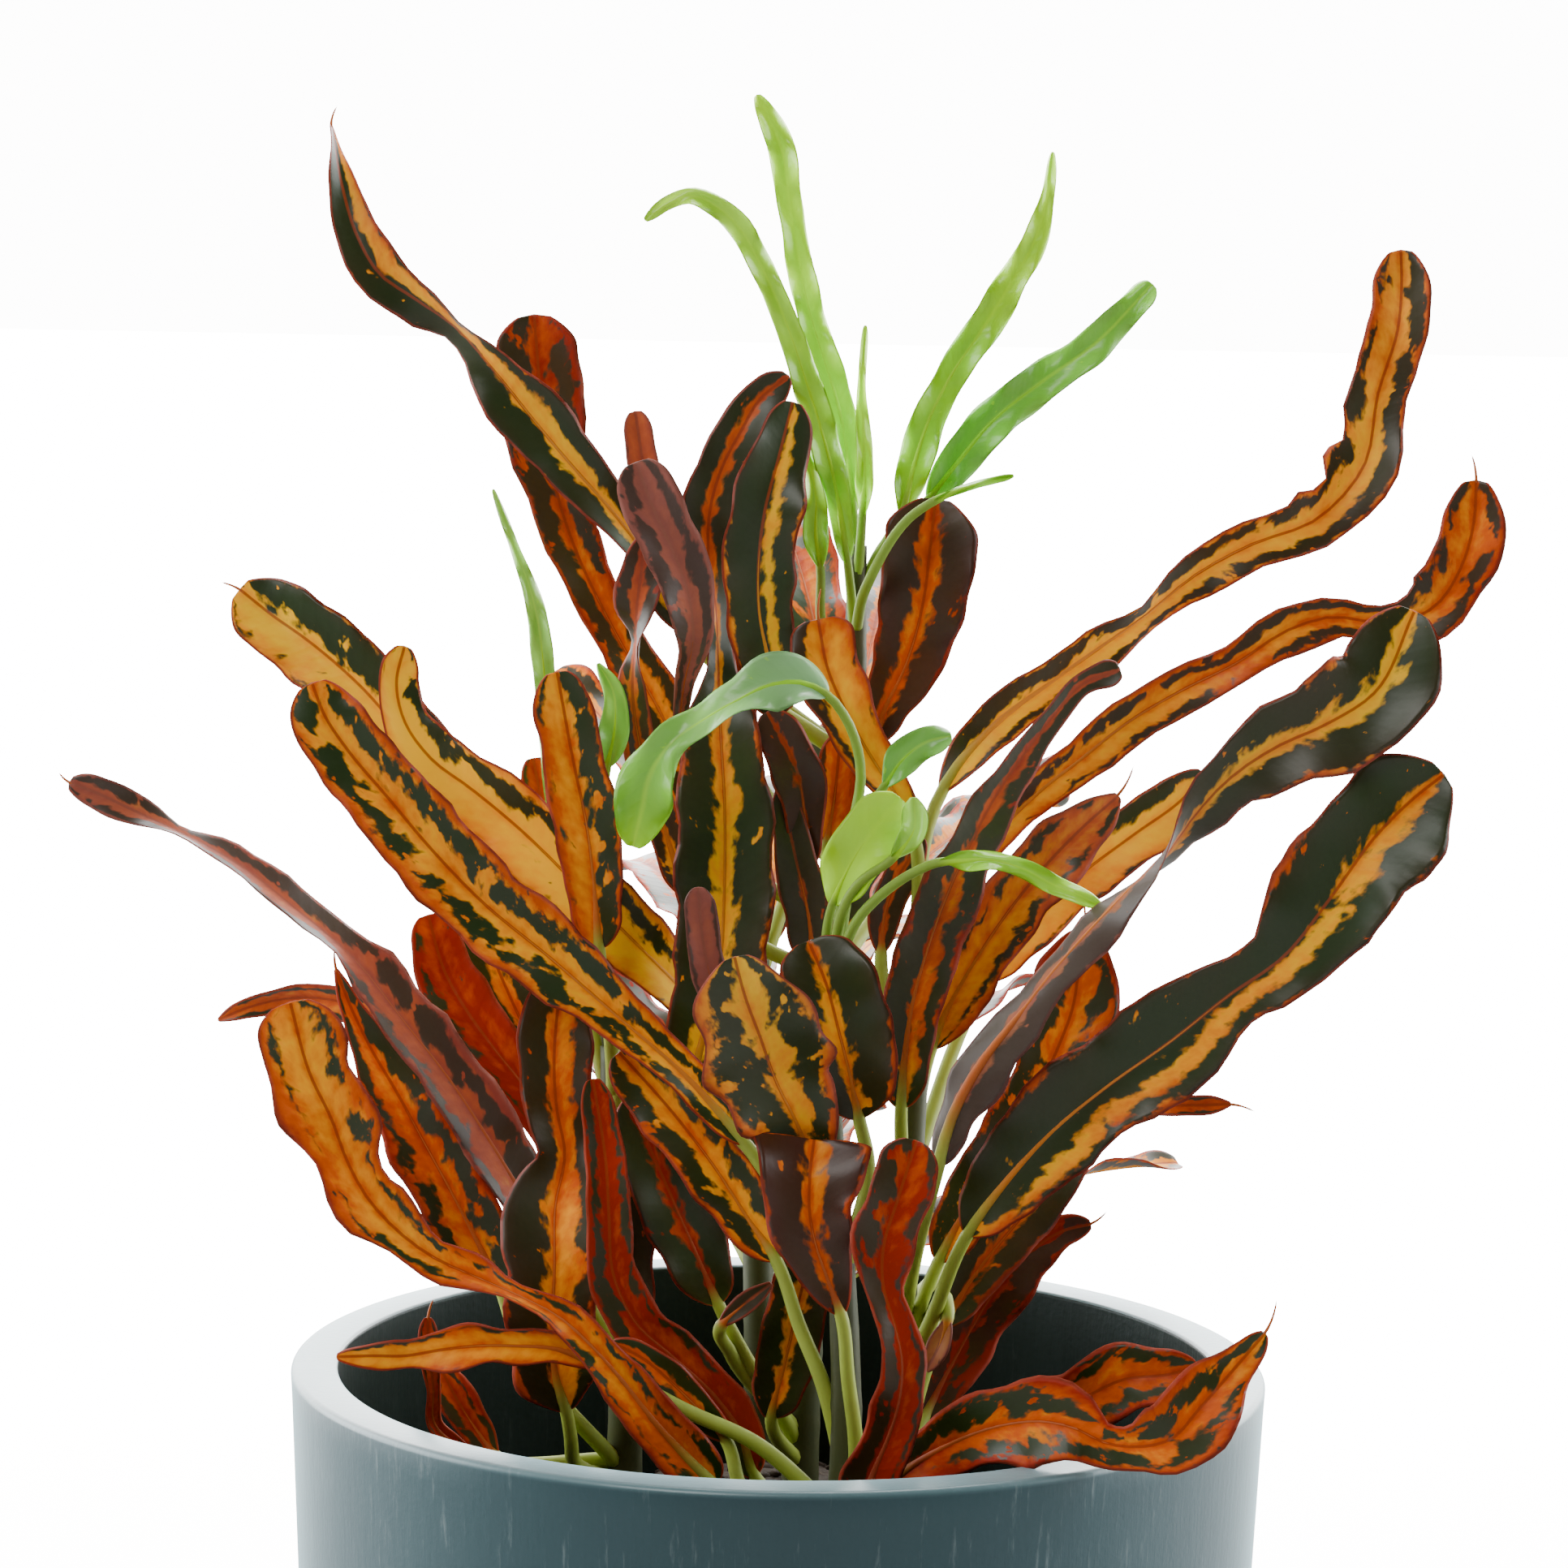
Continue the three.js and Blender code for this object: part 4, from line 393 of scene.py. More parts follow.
SHOOT_LEAVES = {
    "green_shoot_top": [
        ("arched", 269, [], (0.2, 3), [
            [8.8, 283, -4, 0, 1.5], [6.9, 294, -2, 0, 2.2], [4.6, 303, -1, 0, 2.6], [2, 311, 0, 0, 2.5],
            [-0.6, 318.5, 0, 0, 2.2], [-3.7, 326, 0, 0, 2], [-6.7, 332, 0, 0, 2],
            [-9.6, 336.8, 0, 0, 2.1], [-13, 339.9, 0, 0, 1.8], [-17.3, 341.7, 0, 0, 1.5],
            [-21, 340.5, 0, 0, 1.2], [-24.8, 337.6, 0, 0, 0.9],
        ]),
        ("tallest", 279, [], (0.2, 3), [
            [9.6, 291, -12, 0, 1.8], [8.6, 300, -13, 0, 2.6], [6.6, 309, -14, 0, 2.8],
            [4, 317, -14, 0, 2.6], [1.8, 324, -15, 0, 2.4], [0.2, 331, -16, 0, 2.3],
            [-1.6, 340.5, -16, 0, 2.1], [-3.2, 349.8, -16, 0, 2.4], [-7.2, 358, -16, 0, 1.2],
        ]),
        ("narrow_middle", 277, [], (0.1, 3), [
            [11, 290.5, -6, 0, 1.1], [11.3, 297, -6, 0, 1.6], [10.9, 304, -6, 0, 1.3],
            [10.5, 311, -6, 0, 0.8], [10.9, 321.5, -6, 0, 0.6],
        ]),
        ("short_left", 266, [[5.2, 272, -4]], (0.1, 3), [
            [4.4, 282, -3, 0, 1.3], [3.6, 287.5, -2, 0, 2.2], [3.5, 293, -1, 0, 1.8],
            [2.4, 299, -1, 0, 0.9], [0.6, 305.5, -1, 0, 0.6],
        ]),
        ("upright_right", 274, [[13.2, 283.5, -8]], (0.2, 3), [
            [17.2, 291, -8, 0, 1.8], [19.2, 299, -8, 0, 3], [21.6, 307, -8, 0, 2.9],
            [25, 314, -8, 0, 2.6], [29.6, 321, -8, 0, 3], [34, 328.5, -8, 0, 2.6],
            [37.7, 335.5, -8, 0, 2.2], [39.7, 343, -8, 0, 1.2], [40.3, 349.8, -8, 0, 0.7],
        ]),
        ("blade_right", 276, [[14.5, 286, -12]], (0.2, 3), [
            [21.5, 293.5, -14, 0, 2.4], [26, 299.4, -15, 0, 3.3], [31.6, 306.4, -16, 0, 3.6],
            [39.3, 312.8, -17, 0, 3.4], [47.3, 318.7, -18, 0, 3], [56.8, 329, -19, 0, 2.2],
        ]),
        ("spike_right", 271, [[12, 279.5, 1], [19.5, 291.3, 4]], (0, 2), [
            [22.5, 293.3, 5, 0, 0.6], [29, 296, 5, 0, 0.7], [35.3, 297.7, 5, 0, 0.6],
        ]),
    ],
    "green_shoot_front": [
        ("lime_front", 214, [], (0.2, 4), [
            [7.4, 227, 27, 0, 2.6], [9.6, 232.5, 28, 0, 4.6], [12.8, 238, 29, 0, 5.2],
            [18, 245, 29, 0, 4],
        ]),
        ("curly_pale", 216, [[12, 231, 30]], (0.2, 3), [
            [17, 234.8, 31, 0, 1.4], [20.4, 239.5, 32, 0, 2.2], [20.2, 245, 32, 20, 1.4],
        ]),
        ("thin_arch", 206, [[13, 226.5, 30], [20, 232.3, 31]], (0.1, 3), [
            [24, 234.2, 32, 20, 1], [28.4, 234.7, 33, 10, 1.8], [33.2, 234.9, 34, 10, 1.2],
            [38.2, 233.6, 35, 0, 1.6], [43.2, 231.1, 35, 0, 1.7], [47.5, 229.4, 36, 0, 1.4],
            [51.6, 227.3, 36, 0, 0.8],
        ]),
        ("blue_green", 212, [[10.5, 240, 24], [11.6, 249, 24], [9.4, 257, 25]], (0.1, 4), [
            [6, 261.4, 26, 20, 3.6], [2.4, 263.2, 26, 22, 4.2], [-2.8, 263, 27, 25, 4.4],
            [-8.6, 260.2, 28, 30, 4], [-14, 256.9, 28, 35, 3.3], [-19.4, 252.8, 28, 25, 2.7],
            [-22.6, 247.8, 28, 0, 4.7], [-23.9, 241.8, 27, 0, 4.4], [-25.2, 236, 26, 0, 2.8],
        ]),
        ("mid_green", 206, [[10, 230, 21], [11.5, 240, 20]], (0.1, 2.5), [
            [15.4, 246.6, 18, 0, 1.8], [18.6, 251.4, 18, 0, 2.9], [22, 254, 18, 0, 2.8],
            [26.2, 255.2, 18, 0, 1.8],
        ]),
    ],
    "green_shoot_left": [
        ("pale_left", 224, [], (0.1, 5), [
            [-37.8, 240, -6, 0, 1.4], [-38.8, 251, -6, 0, 1.7], [-39.8, 262, -6, 0, 1.8],
            [-40.8, 271, -6, 0, 1.9], [-42.6, 278.5, -6, 0, 1.3], [-45, 284.5, -6, 0, 0.9],
            [-48.6, 294, -6, 0, 0.6],
        ]),
        ("small_green", 221, [[-31, 238, 8]], (0.1, 3), [
            [-29.6, 249, 11, 0, 2.2], [-28.4, 255.5, 12, 0, 2.6], [-28.8, 261.5, 12, 0, 1.7],
            [-31.3, 266, 12, 0, 0.8],
        ]),
    ],
}

# Leaves made by rule: the stem, their number, the heights and the angles between which they grow,
# and the seed of their draws.
BACK_LEAVES = [
    ("leafy_stem_back", 12, 142.0, 208.0, (36.0, 144.0), 11),
    ("leafy_stem_tall", 3, 205.0, 250.0, (60.0, 120.0), 31),
]

# %% [markdown]
# ## The colours of each leaf
# A croton's young leaves are yellow on green and turn orange, red and maroon with age. One row a
# leaf: the hue of its bright band at base and tip, from yellow at 0 through orange to red at 1; its
# dark ground, from green at 0 to maroon at 1; the band's half width, as a share of the blade's; how
# patchy it is; how dusky its face is at base and tip; and how far the band leans to one side there.

# %% Leaf colours
LOOKS = {
    "sky_left": (0.1, 0.4, 0.1, 0.36, 0.2, 0.0, 0.15, -0.2, 0.75),
    "behind_sky_left": (0.15, 0.9, 0.45, 0.34, 0.5, 0.0, 0.1, 0.25, 0.0),
    "amber_tip": (0.6, 0.6, 0.9, 1.0, 0.1, 0.6, 0.6, 0.0, 0.0),
    "dusky_pink": (0.8, 0.9, 0.8, 0.45, 0.5, 0.75, 0.95, 0.1, 0.0),
    "twisted_dark": (0.2, 0.8, 0.5, 0.35, 0.4, 0.1, 0.5, 0.0, 0.0),
    "yellow_band": (0.1, 0.15, 0.0, 0.2, 0.1, 0.05, 0.1, 0.35, 0.2),
    "dark_curl": (0.8, 0.9, 0.85, 0.1, 0.4, 0.0, 0.0, 0.0, 0.0),
    "brown_spatula": (0.5, 0.75, 0.8, 0.3, 0.2, 0.0, 0.0, -0.1, 0.0),
    "yellow_lower": (0.05, 0.05, 0.05, 0.72, 0.5, 0.0, 0.0, -0.35, -0.2),
    "brown_centre": (0.7, 0.8, 0.9, 0.15, 0.3, 0.1, 0.1, 0.0, 0.0),
    "orange_centre": (0.4, 0.6, 0.8, 0.7, 0.4, 0.0, 0.0, 0.0, 0.0),
    "blue_centre": (0.6, 0.6, 0.1, 0.05, 0.2, 0.4, 0.4, 0.0, 0.0),
    "low_olive": (0.4, 0.4, 0.1, 0.3, 0.3, 0.1, 0.1, 0.0, 0.0),
    "low_red_band": (0.95, 0.95, 0.05, 0.24, 0.2, 0.1, 0.0, 0.0, 0.0),
    "low_blue_curl": (0.5, 0.5, 0.1, 0.1, 0.2, 0.5, 0.5, 0.0, 0.0),
    "round_left": (0.05, 0.1, 0.0, 0.55, 0.4, 0.0, 0.0, -0.4, -0.3),
    "orange_upright": (0.45, 0.4, 0.1, 0.55, 0.45, 0.0, 0.0, -0.35, -0.3),
    "long_left": (0.75, 0.7, 0.5, 0.45, 0.45, 0.45, 0.75, -0.3, 0.0),
    "far_left": (0.6, 0.6, 0.1, 0.6, 0.5, 0.2, 0.2, -0.3, 0.0),
    "streaked_left": (0.5, 0.6, 0.05, 0.42, 0.4, 0.0, 0.0, -0.15, -0.1),
    "red_behind": (1.0, 0.9, 0.1, 0.85, 0.55, 0.0, 0.0, 0.1, 0.3),
    "dark_behind": (0.5, 0.5, 0.05, 0.3, 0.45, 0.0, 0.0, 0.0, 0.0),
    "wavy_upright": (0.45, 0.6, 0.4, 0.42, 0.3, 0.0, 0.0, 0.2, 0.1),
    "tall_twist": (0.05, 0.7, 0.1, 0.3, 0.15, 0.0, 0.2, 0.0, 0.0),
    "small_red": (0.85, 0.85, 0.6, 0.6, 0.5, 0.1, 0.1, 0.0, 0.0),
    "low_small": (0.8, 0.8, 0.4, 0.7, 0.5, 0.0, 0.0, 0.0, 0.0),
    "low_small_dark": (0.8, 0.7, 0.4, 0.45, 0.5, 0.0, 0.0, 0.0, 0.0),
    "low_dark_fill": (0.7, 0.7, 0.3, 0.3, 0.4, 0.0, 0.0, 0.0, 0.0),
    "sky_right": (0.1, 0.4, 0.4, 0.52, 0.45, 0.0, 0.1, 0.3, -0.25),
    "curl_right": (0.25, 0.65, 0.6, 0.55, 0.5, 0.1, 0.0, 0.35, -0.2),
    "front_right": (0.6, 0.12, 0.15, 0.26, 0.2, 0.85, 0.0, 0.0, 0.0),
    "spatula_right": (0.3, 0.35, 0.03, 0.24, 0.2, 0.1, 0.0, 0.8, 0.0),
    "knob_right": (0.5, 0.8, 0.1, 0.3, 0.3, 0.0, 0.5, 0.2, 0.0),
    "yellow_right": (0.25, 0.6, 0.15, 0.62, 0.55, 0.0, 0.5, 0.0, 0.0),
    "yellow_right_behind": (0.15, 0.2, 0.1, 0.7, 0.4, 0.0, 0.1, 0.25, 0.25),
    "folded_orange": (0.1, 0.5, 0.7, 0.8, 0.4, 0.0, 0.0, 0.0, 0.3),
    "orange_right": (0.5, 0.7, 0.25, 0.45, 0.5, 0.0, 0.0, 0.25, 0.0),
    "far_right": (0.5, 0.8, 0.3, 0.7, 0.35, 0.1, 0.1, 0.0, 0.0),
    "olive_right": (0.6, 0.5, 0.1, 0.2, 0.3, 0.3, 0.2, 0.0, 0.0),
    "dark_red_right": (0.95, 0.95, 0.9, 0.2, 0.55, 0.1, 0.1, 0.0, 0.0),
    "rim_behind_right": (0.75, 0.7, 0.1, 0.55, 0.6, 0.0, 0.0, 0.0, 0.0),
    "dark_nook": (0.7, 0.7, 0.6, 0.3, 0.3, 0.2, 0.2, 0.0, 0.0),
    "dry_husk": (0.3, 0.3, 0.5, 1.0, 0.2, 0.9, 0.9, 0.0, 0.0),
    "big_front_left": (0.3, 0.45, 0.05, 0.4, 0.6, 0.0, 0.0, -0.05, 0.0),
    "mottled_front": (0.4, 0.12, 0.0, 0.32, 0.5, 0.1, 0.3, 0.1, 0.1),
    "pink_tip": (0.9, 0.9, 0.9, 0.8, 0.2, 0.9, 0.9, 0.0, 0.0),
    "dark_shield": (0.35, 0.4, 0.2, 0.2, 0.2, 0.0, 0.0, 0.0, -0.05),
    "front_brown_red": (0.8, 0.35, 0.8, 0.26, 0.15, 0.0, 0.0, 0.0, 0.05),
    "front_red": (1.0, 1.0, 0.6, 0.5, 0.45, 0.0, 0.0, 0.25, 0.25),
    "diagonal_dark": (0.3, 0.55, 0.15, 0.38, 0.5, 0.0, 0.0, 0.1, 0.0),
    "long_orange_left": (0.62, 0.4, 0.1, 0.62, 0.6, 0.0, 0.0, -0.1, 0.0),
    "level_left": (0.5, 0.35, 0.3, 0.9, 0.4, 0.0, 0.0, 0.0, -0.2),
    "low_dark_front": (0.5, 0.7, 0.1, 0.35, 0.4, 0.0, 0.0, 0.0, 0.0),
    "low_red_front": (0.95, 1.0, 0.3, 0.55, 0.5, 0.0, 0.0, 0.25, 0.1),
    "rim_right": (0.8, 0.5, 0.15, 0.4, 0.6, 0.0, 0.0, 0.1, 0.1),
}

# A shoot's leaf: from lime at 0 to deep green at 1, at base and tip; and a pale bluish tone, partly
# the wax bloom of a young leaf and partly a painted sheen, at base and tip.
SHOOT_LOOKS = {
    "arched": (0.45, 0.15, 0.1, 0.1),
    "tallest": (0.3, 0.1, 0.0, 0.0),
    "narrow_middle": (0.2, 0.05, 0.0, 0.0),
    "short_left": (0.45, 0.3, 0.1, 0.1),
    "upright_right": (0.5, 0.1, 0.0, 0.0),
    "blade_right": (0.75, 0.6, 0.2, 0.2),
    "spike_right": (0.6, 0.4, 0.1, 0.1),
    "lime_front": (0.15, 0.1, 0.1, 0.1),
    "curly_pale": (0.3, 0.25, 0.3, 0.3),
    "thin_arch": (0.4, 0.3, 0.1, 0.1),
    "blue_green": (0.75, 0.4, 1.0, 0.0),
    "mid_green": (0.75, 0.65, 0.4, 0.4),
    "pale_left": (0.5, 0.35, 0.4, 0.4),
    "small_green": (0.6, 0.5, 0.3, 0.3),
}

# %% [markdown]
# ## The spine of a leaf
# A leaf could be bent by hand or by an armature. Here each is swept along a smooth curve through
# its stations, because the curve also carries the roll and the width from one to the next.

# %% Smooth curves through the stations
# The step, in millimetres, at which a curve is looked at.
NEAR = 0.5


def mix(a, b, share):
    return a + (b - a) * share


def smooth_rows(rows):
    """A curve through rows of numbers, which first hold a place. It gives each row's distance along
    the curve, and a function from distance to a row."""
    knots = [0.0]
    for before, after in zip(rows, rows[1:]):
        knots.append(knots[-1] + math.dist(before[:3], after[:3]))
    steep = [
        [(b - a) / (knots[i + 1] - knots[i]) for a, b in zip(rows[i], rows[i + 1])]
        for i in range(len(rows) - 1)
    ]
    slopes = [steep[0]]
    for i in range(1, len(rows) - 1):
        before = knots[i] - knots[i - 1]
        after = knots[i + 1] - knots[i]
        slopes.append(
            [(p * after + q * before) / (before + after) for p, q in zip(steep[i - 1], steep[i])]
        )
    slopes.append(steep[-1])

    def at(t):
        i = 0
        while i < len(rows) - 2 and t > knots[i + 1]:
            i += 1
        span = knots[i + 1] - knots[i]
        u = (t - knots[i]) / span
        return [
            a * (1 + 2 * u) * (1 - u) ** 2
            + span * p * u * (1 - u) ** 2
            + b * u * u * (3 - 2 * u)
            + span * q * u * u * (u - 1)
            for a, b, p, q in zip(rows[i], rows[i + 1], slopes[i], slopes[i + 1])
        ]

    return knots, at


def heading(at, t, length):
    ahead = Vector(at(min(length, t + NEAR))[:3])
    behind = Vector(at(max(0.0, t - NEAR))[:3])
    return (ahead - behind).normalized()


def axis_point(path, height):
    """The point of a stem's axis nearest to a height."""
    knots, at = smooth_rows(path)
    best = path[0]
    t = 0.0
    while t <= knots[-1]:
        point = at(t)
        if abs(point[2] - height) < abs(best[2] - height):
            best = point
        t += NEAR
    return list(best[:3])


def seen_leaf(row, path):
    """A leaf from its row of the table. Its face is turned to the eye before its roll."""
    name, height, via, (wave, tip_length), blade = row
    first = [blade[0][3], blade[0][4]]
    stalk = [axis_point(path, height)] + [list(place(*point)) for point in via]
    rows = [point + first for point in stalk]
    rows += [list(place(*station[:3])) + station[3:] for station in blade]
    return {
        "name": name,
        "rows": rows,
        "blade_start": len(stalk),
        "wave": wave,
        "tip": tip_length,
        "face": lambda point: EYE - point,
    }


# %% [markdown]
# ## Leaves of the far side
# The photograph doesn't show them. They grow by the rule that the solids use: round the stem by
# the golden angle inside a fan, up the stem by even steps, each arching over by its own weight.

# %% Far-side leaves by the golden angle
GOLDEN_ANGLE = 137.508
BACK_STALK = 20.0
BACK_STATIONS = 6
BACK_TIP = 6.0
BACK_ROLL = 14.0
ROLL_RATE = 7
BELLY_RATE = 1.15
STALK_HALF_SHARE = 0.5
BACK_WIDENING = 0.38
BACK_LEAN, LEAN_RISE, LEAN_SPREAD = 0.45, 0.45, 0.15
BACK_LENGTH, LENGTH_SPREAD, SHORTENING = 66.0, 22.0, 8.0
BACK_HALF, HALF_SPREAD = 5.2, 1.8
BACK_DROOP, DROOP_SPREAD = 0.5, 0.7
BACK_WAVE, WAVE_SPREAD = 0.4, 0.5
FACES_BACK = 0.75


def draws(seed):
    """A plain generator, the same as the solids' own, so that both grow the same leaves."""
    state = seed

    def draw():
        nonlocal state
        state = (state * 16807) % 2147483647
        return state / 2147483647

    return draw


def back_spine(root, height, azimuth, lean, length, half, droop):
    outward = Vector((math.cos(azimuth), math.sin(azimuth), 0.0))
    rows = [root + [0.0, half * STALK_HALF_SHARE]]
    point = Vector(root)
    pitch = lean
    for i in range(BACK_STATIONS + 1):
        step = BACK_STALK if i == 0 else length / BACK_STATIONS
        point = point + outward * (step * math.cos(pitch))
        point.z += step * math.sin(pitch)
        pitch -= droop / BACK_STATIONS
        share = i / BACK_STATIONS
        belly = math.sin(math.pi * min(1.0, share * BELLY_RATE))
        width = half * (1.0 - BACK_WIDENING + BACK_WIDENING * belly)
        rows.append([*point, BACK_ROLL * math.sin(ROLL_RATE * share + height), width])
    up_and_back = Vector((-FACES_BACK * outward.x, -FACES_BACK * outward.y, 1.0))
    return rows, up_and_back


def back_leaves(stem_name, path):
    leaves = []
    for stem, count, low, high, fan, seed in BACK_LEAVES:
        if stem != stem_name:
            continue
        draw = draws(seed)
        for i in range(count):
            share = (i + 0.5) / count
            azimuth = math.radians(mix(*fan, (i * GOLDEN_ANGLE / 360.0) % 1.0))
            height = mix(low, high, share)
            lean = BACK_LEAN + LEAN_RISE * share + LEAN_SPREAD * draw()
            length = BACK_LENGTH + LENGTH_SPREAD * draw() - SHORTENING * share
            half = BACK_HALF + HALF_SPREAD * draw()
            droop = BACK_DROOP + DROOP_SPREAD * draw()
            root = axis_point(path, height)
            rows, face = back_spine(root, height, azimuth, lean, length, half, droop)
            leaves.append(
                {
                    "name": f"back_{stem}_{i}",
                    "rows": rows,
                    "blade_start": 1,
                    "wave": BACK_WAVE + WAVE_SPREAD * draw(),
                    "tip": BACK_TIP,
                    "face": lambda point, face=face: face,
                }
            )
    return leaves


# %% [markdown]
# ## The blade
# A flat grid is laid on the spine: its columns run across the blade and its rows along it. The
# blade folds a little along its midrib, its edges wave, and a second grid, turned over and merged
# with the first round the edge, gives it a real underside and a thin lens of thickness.

# %% The blade's measures
BLADE_COLUMNS = 14
BLADE_ROWS = 64
CROWDED_ENDS = 0.13
FOLD = 0.3
FOLD_BEND = 1.3
WAVE_LENGTH = 27.0
WAVE_GAIN = 1.5
BASE_LENGTH = 6.0
TIP_BLUNT = 0.06
HALF_THICKNESS = 0.28
THINNER_ENDS = 1.5
RIM_SHARPNESS = 12

# Ripples across the blade, and fine notches in its margin: a size, and a length in millimetres.
RIPPLE, RIPPLE_LENGTH, CROSS_RIPPLE, CROSS_RIPPLE_LENGTH = 0.55, 2.6, 0.6, 1.7
RIPPLE_HALF_WIDTH = 7.0
RIPPLE_SKEW = 1.5
SHOOT_RIPPLE = 2.8
NOTCH, NOTCH_LENGTH, FINE_NOTCH, FINE_NOTCH_LENGTH = 0.03, 2.3, 0.02, 1.1
LOBE_SKEW = 0.8
SEED_STEP = 37.0
WIDTH_UNIT = 10.0
MERGE = 1e-6

# A lobed margin: the lobes' size as a share of the half width, their spacing in millimetres and
# phase, the side that has them (0 for both), and the middle and spread of the lobed part.
LOBES = {
    "sky_right": (0.32, 12.0, 0.4, -1.0, 0.68, 0.10),
    "long_orange_left": (0.16, 17.0, 0.5, 0.0, 0.7, 0.5),
    "spatula_right": (0.10, 26.0, 2.0, 0.0, 0.6, 0.6),
    "rim_right": (0.12, 15.0, 1.0, 0.0, 0.5, 0.6),
    "mottled_front": (0.09, 11.0, 0.0, 0.0, 0.5, 0.6),
    "curl_right": (0.12, 18.0, 0.0, 1.0, 0.8, 0.4),
    "level_left": (0.15, 12.0, 2.0, 0.0, 0.5, 0.6),
    "sky_left": (0.10, 20.0, 0.0, 0.0, 0.5, 0.6),
    "front_red": (0.12, 14.0, 0.0, 0.0, 0.5, 0.6),
}
PLAIN_LOBE = (0.04, 12.0, 0.0, 0.0, 0.5, 1.0)


# %% Sections of a blade
def leaf_frame(leaf, at, length, t):
    """A point of the spine, the directions across the blade and out of its face, and half its width."""
    x, y, z, roll, half = at(t)
    point = Vector((x, y, z))
    along = heading(at, t, length)
    to_face = leaf["face"](point)
    flat = (to_face - along * to_face.dot(along)).normalized()
    right = along.cross(flat)
    angle = math.radians(roll)
    normal = flat * math.cos(angle) + right * math.sin(angle)
    return point, along.cross(normal), normal, half


def round_end(share):
    rest = 1.0 - min(1.0, max(0.0, share))
    return math.sqrt(1.0 - rest * rest)


def blade_sections(leaf):
    draw = random.Random(f"ripple {leaf['name']}")
    knots, at = smooth_rows(leaf["rows"])
    length = knots[-1]
    start = knots[leaf["blade_start"]]
    phases = [draw.uniform(0.0, 2.0 * math.pi) for _ in range(4)]
    sections = []
    for k in range(BLADE_ROWS + 1):
        share = k / BLADE_ROWS
        even = share - CROWDED_ENDS * math.sin(2.0 * math.pi * share)
        t = mix(start, length, even)
        point, side, normal, half = leaf_frame(leaf, at, length, t)
        opened = round_end((t - start) / BASE_LENGTH)
        closed = round_end(TIP_BLUNT + (1.0 - TIP_BLUNT) * (length - t) / leaf["tip"])
        size = 0.0 if k in (0, BLADE_ROWS) else opened * closed
        sections.append((even, t - start, point, side, normal, half, size, phases))
    return sections


# %% Lay a blade on its spine
def edge_share(leaf, even, mm, s, phases):
    """How far the margin stands out, as a share of the smooth half width: fine notches and lobes."""
    notch = 1.0 + NOTCH * math.sin(mm / NOTCH_LENGTH + phases[0] + s)
    notch += FINE_NOTCH * math.sin(mm / FINE_NOTCH_LENGTH + phases[1])
    lobe, spacing, phase, one_side, middle, spread = LOBES.get(leaf["name"], PLAIN_LOBE)
    if s * one_side >= 0.0:
        lobe *= math.exp(-(((even - middle) / spread) ** 2))
        notch += lobe * abs(s) * math.sin(2.0 * math.pi * mm / spacing + phase + LOBE_SKEW * s)
    return notch


def blade_point(section, leaf, s, face):
    even, mm, point, side, normal, half, size, phases = section
    width = half * size * edge_share(leaf, even, mm, s, phases)
    fold = width * math.sin(FOLD) * abs(s) ** FOLD_BEND
    swing = WAVE_GAIN * leaf["wave"] * size * math.sin(2.0 * math.pi * mm / WAVE_LENGTH) * s
    ripple = math.sin(mm / RIPPLE_LENGTH + phases[2] + RIPPLE_SKEW * s)
    ripple += CROSS_RIPPLE * math.sin(mm / CROSS_RIPPLE_LENGTH + phases[3] - s)
    ripple_gain = leaf.get("ripple", half / RIPPLE_HALF_WIDTH)
    rise = fold + swing + RIPPLE * size * ripple * s * s * ripple_gain
    lens = math.sqrt(max(0.0, 1.0 - s * s))
    thick = face * HALF_THICKNESS * min(1.0, size * THINNER_ENDS) * lens
    return point + side * (s * width * math.cos(FOLD)) + normal * (rise + thick), width


def add_blade(bm, layers, leaf, number, look):
    """Adds one blade. Its vertices carry what the finish reads: the side that they are on, the spot
    in millimetres, and the leaf's colours."""
    sections = blade_sections(leaf)
    new_verts = []
    for face in (1.0, -1.0):
        made = bmesh.ops.create_grid(
            bm, x_segments=BLADE_COLUMNS, y_segments=BLADE_ROWS, size=1.0
        )["verts"]
        for vert in made:
            s = vert.co.x
            section = sections[round((vert.co.y + 1.0) / 2.0 * BLADE_ROWS)]
            even, mm = section[0], section[1]
            vert.co, width = blade_point(section, leaf, s, face)
            vert.co *= MM
            vert[layers["where"]] = (s, 0.5 + 0.5 * face * (1.0 - abs(s) ** RIM_SHARPNESS), 0.0)
            vert[layers["spot"]] = (s * width, mm, number * SEED_STEP)
            vert[layers["look"]] = (mix(look[0], look[1], even), look[2], look[3], look[4])
            dusk, offset = mix(look[5], look[6], even), mix(look[7], look[8], even)
            vert[layers["dusk"]] = (dusk, width / WIDTH_UNIT, offset)
        if face < 0.0:
            faces = {f for vert in made for f in vert.link_faces}
            bmesh.ops.reverse_faces(bm, faces=list(faces))
        new_verts += made
    bmesh.ops.remove_doubles(bm, verts=new_verts, dist=MERGE)


# %% [markdown]
# ## Stalks, midribs and stems
# A leaf's stalk runs on as the blade's midrib and thins out toward the tip. It is a grid rolled
# into a tube along the same spine. The stems are tubes too, with a low ring at each leaf scar. A
# few leaves end in a dry hair, given by how far it bends sideways and how long it is.

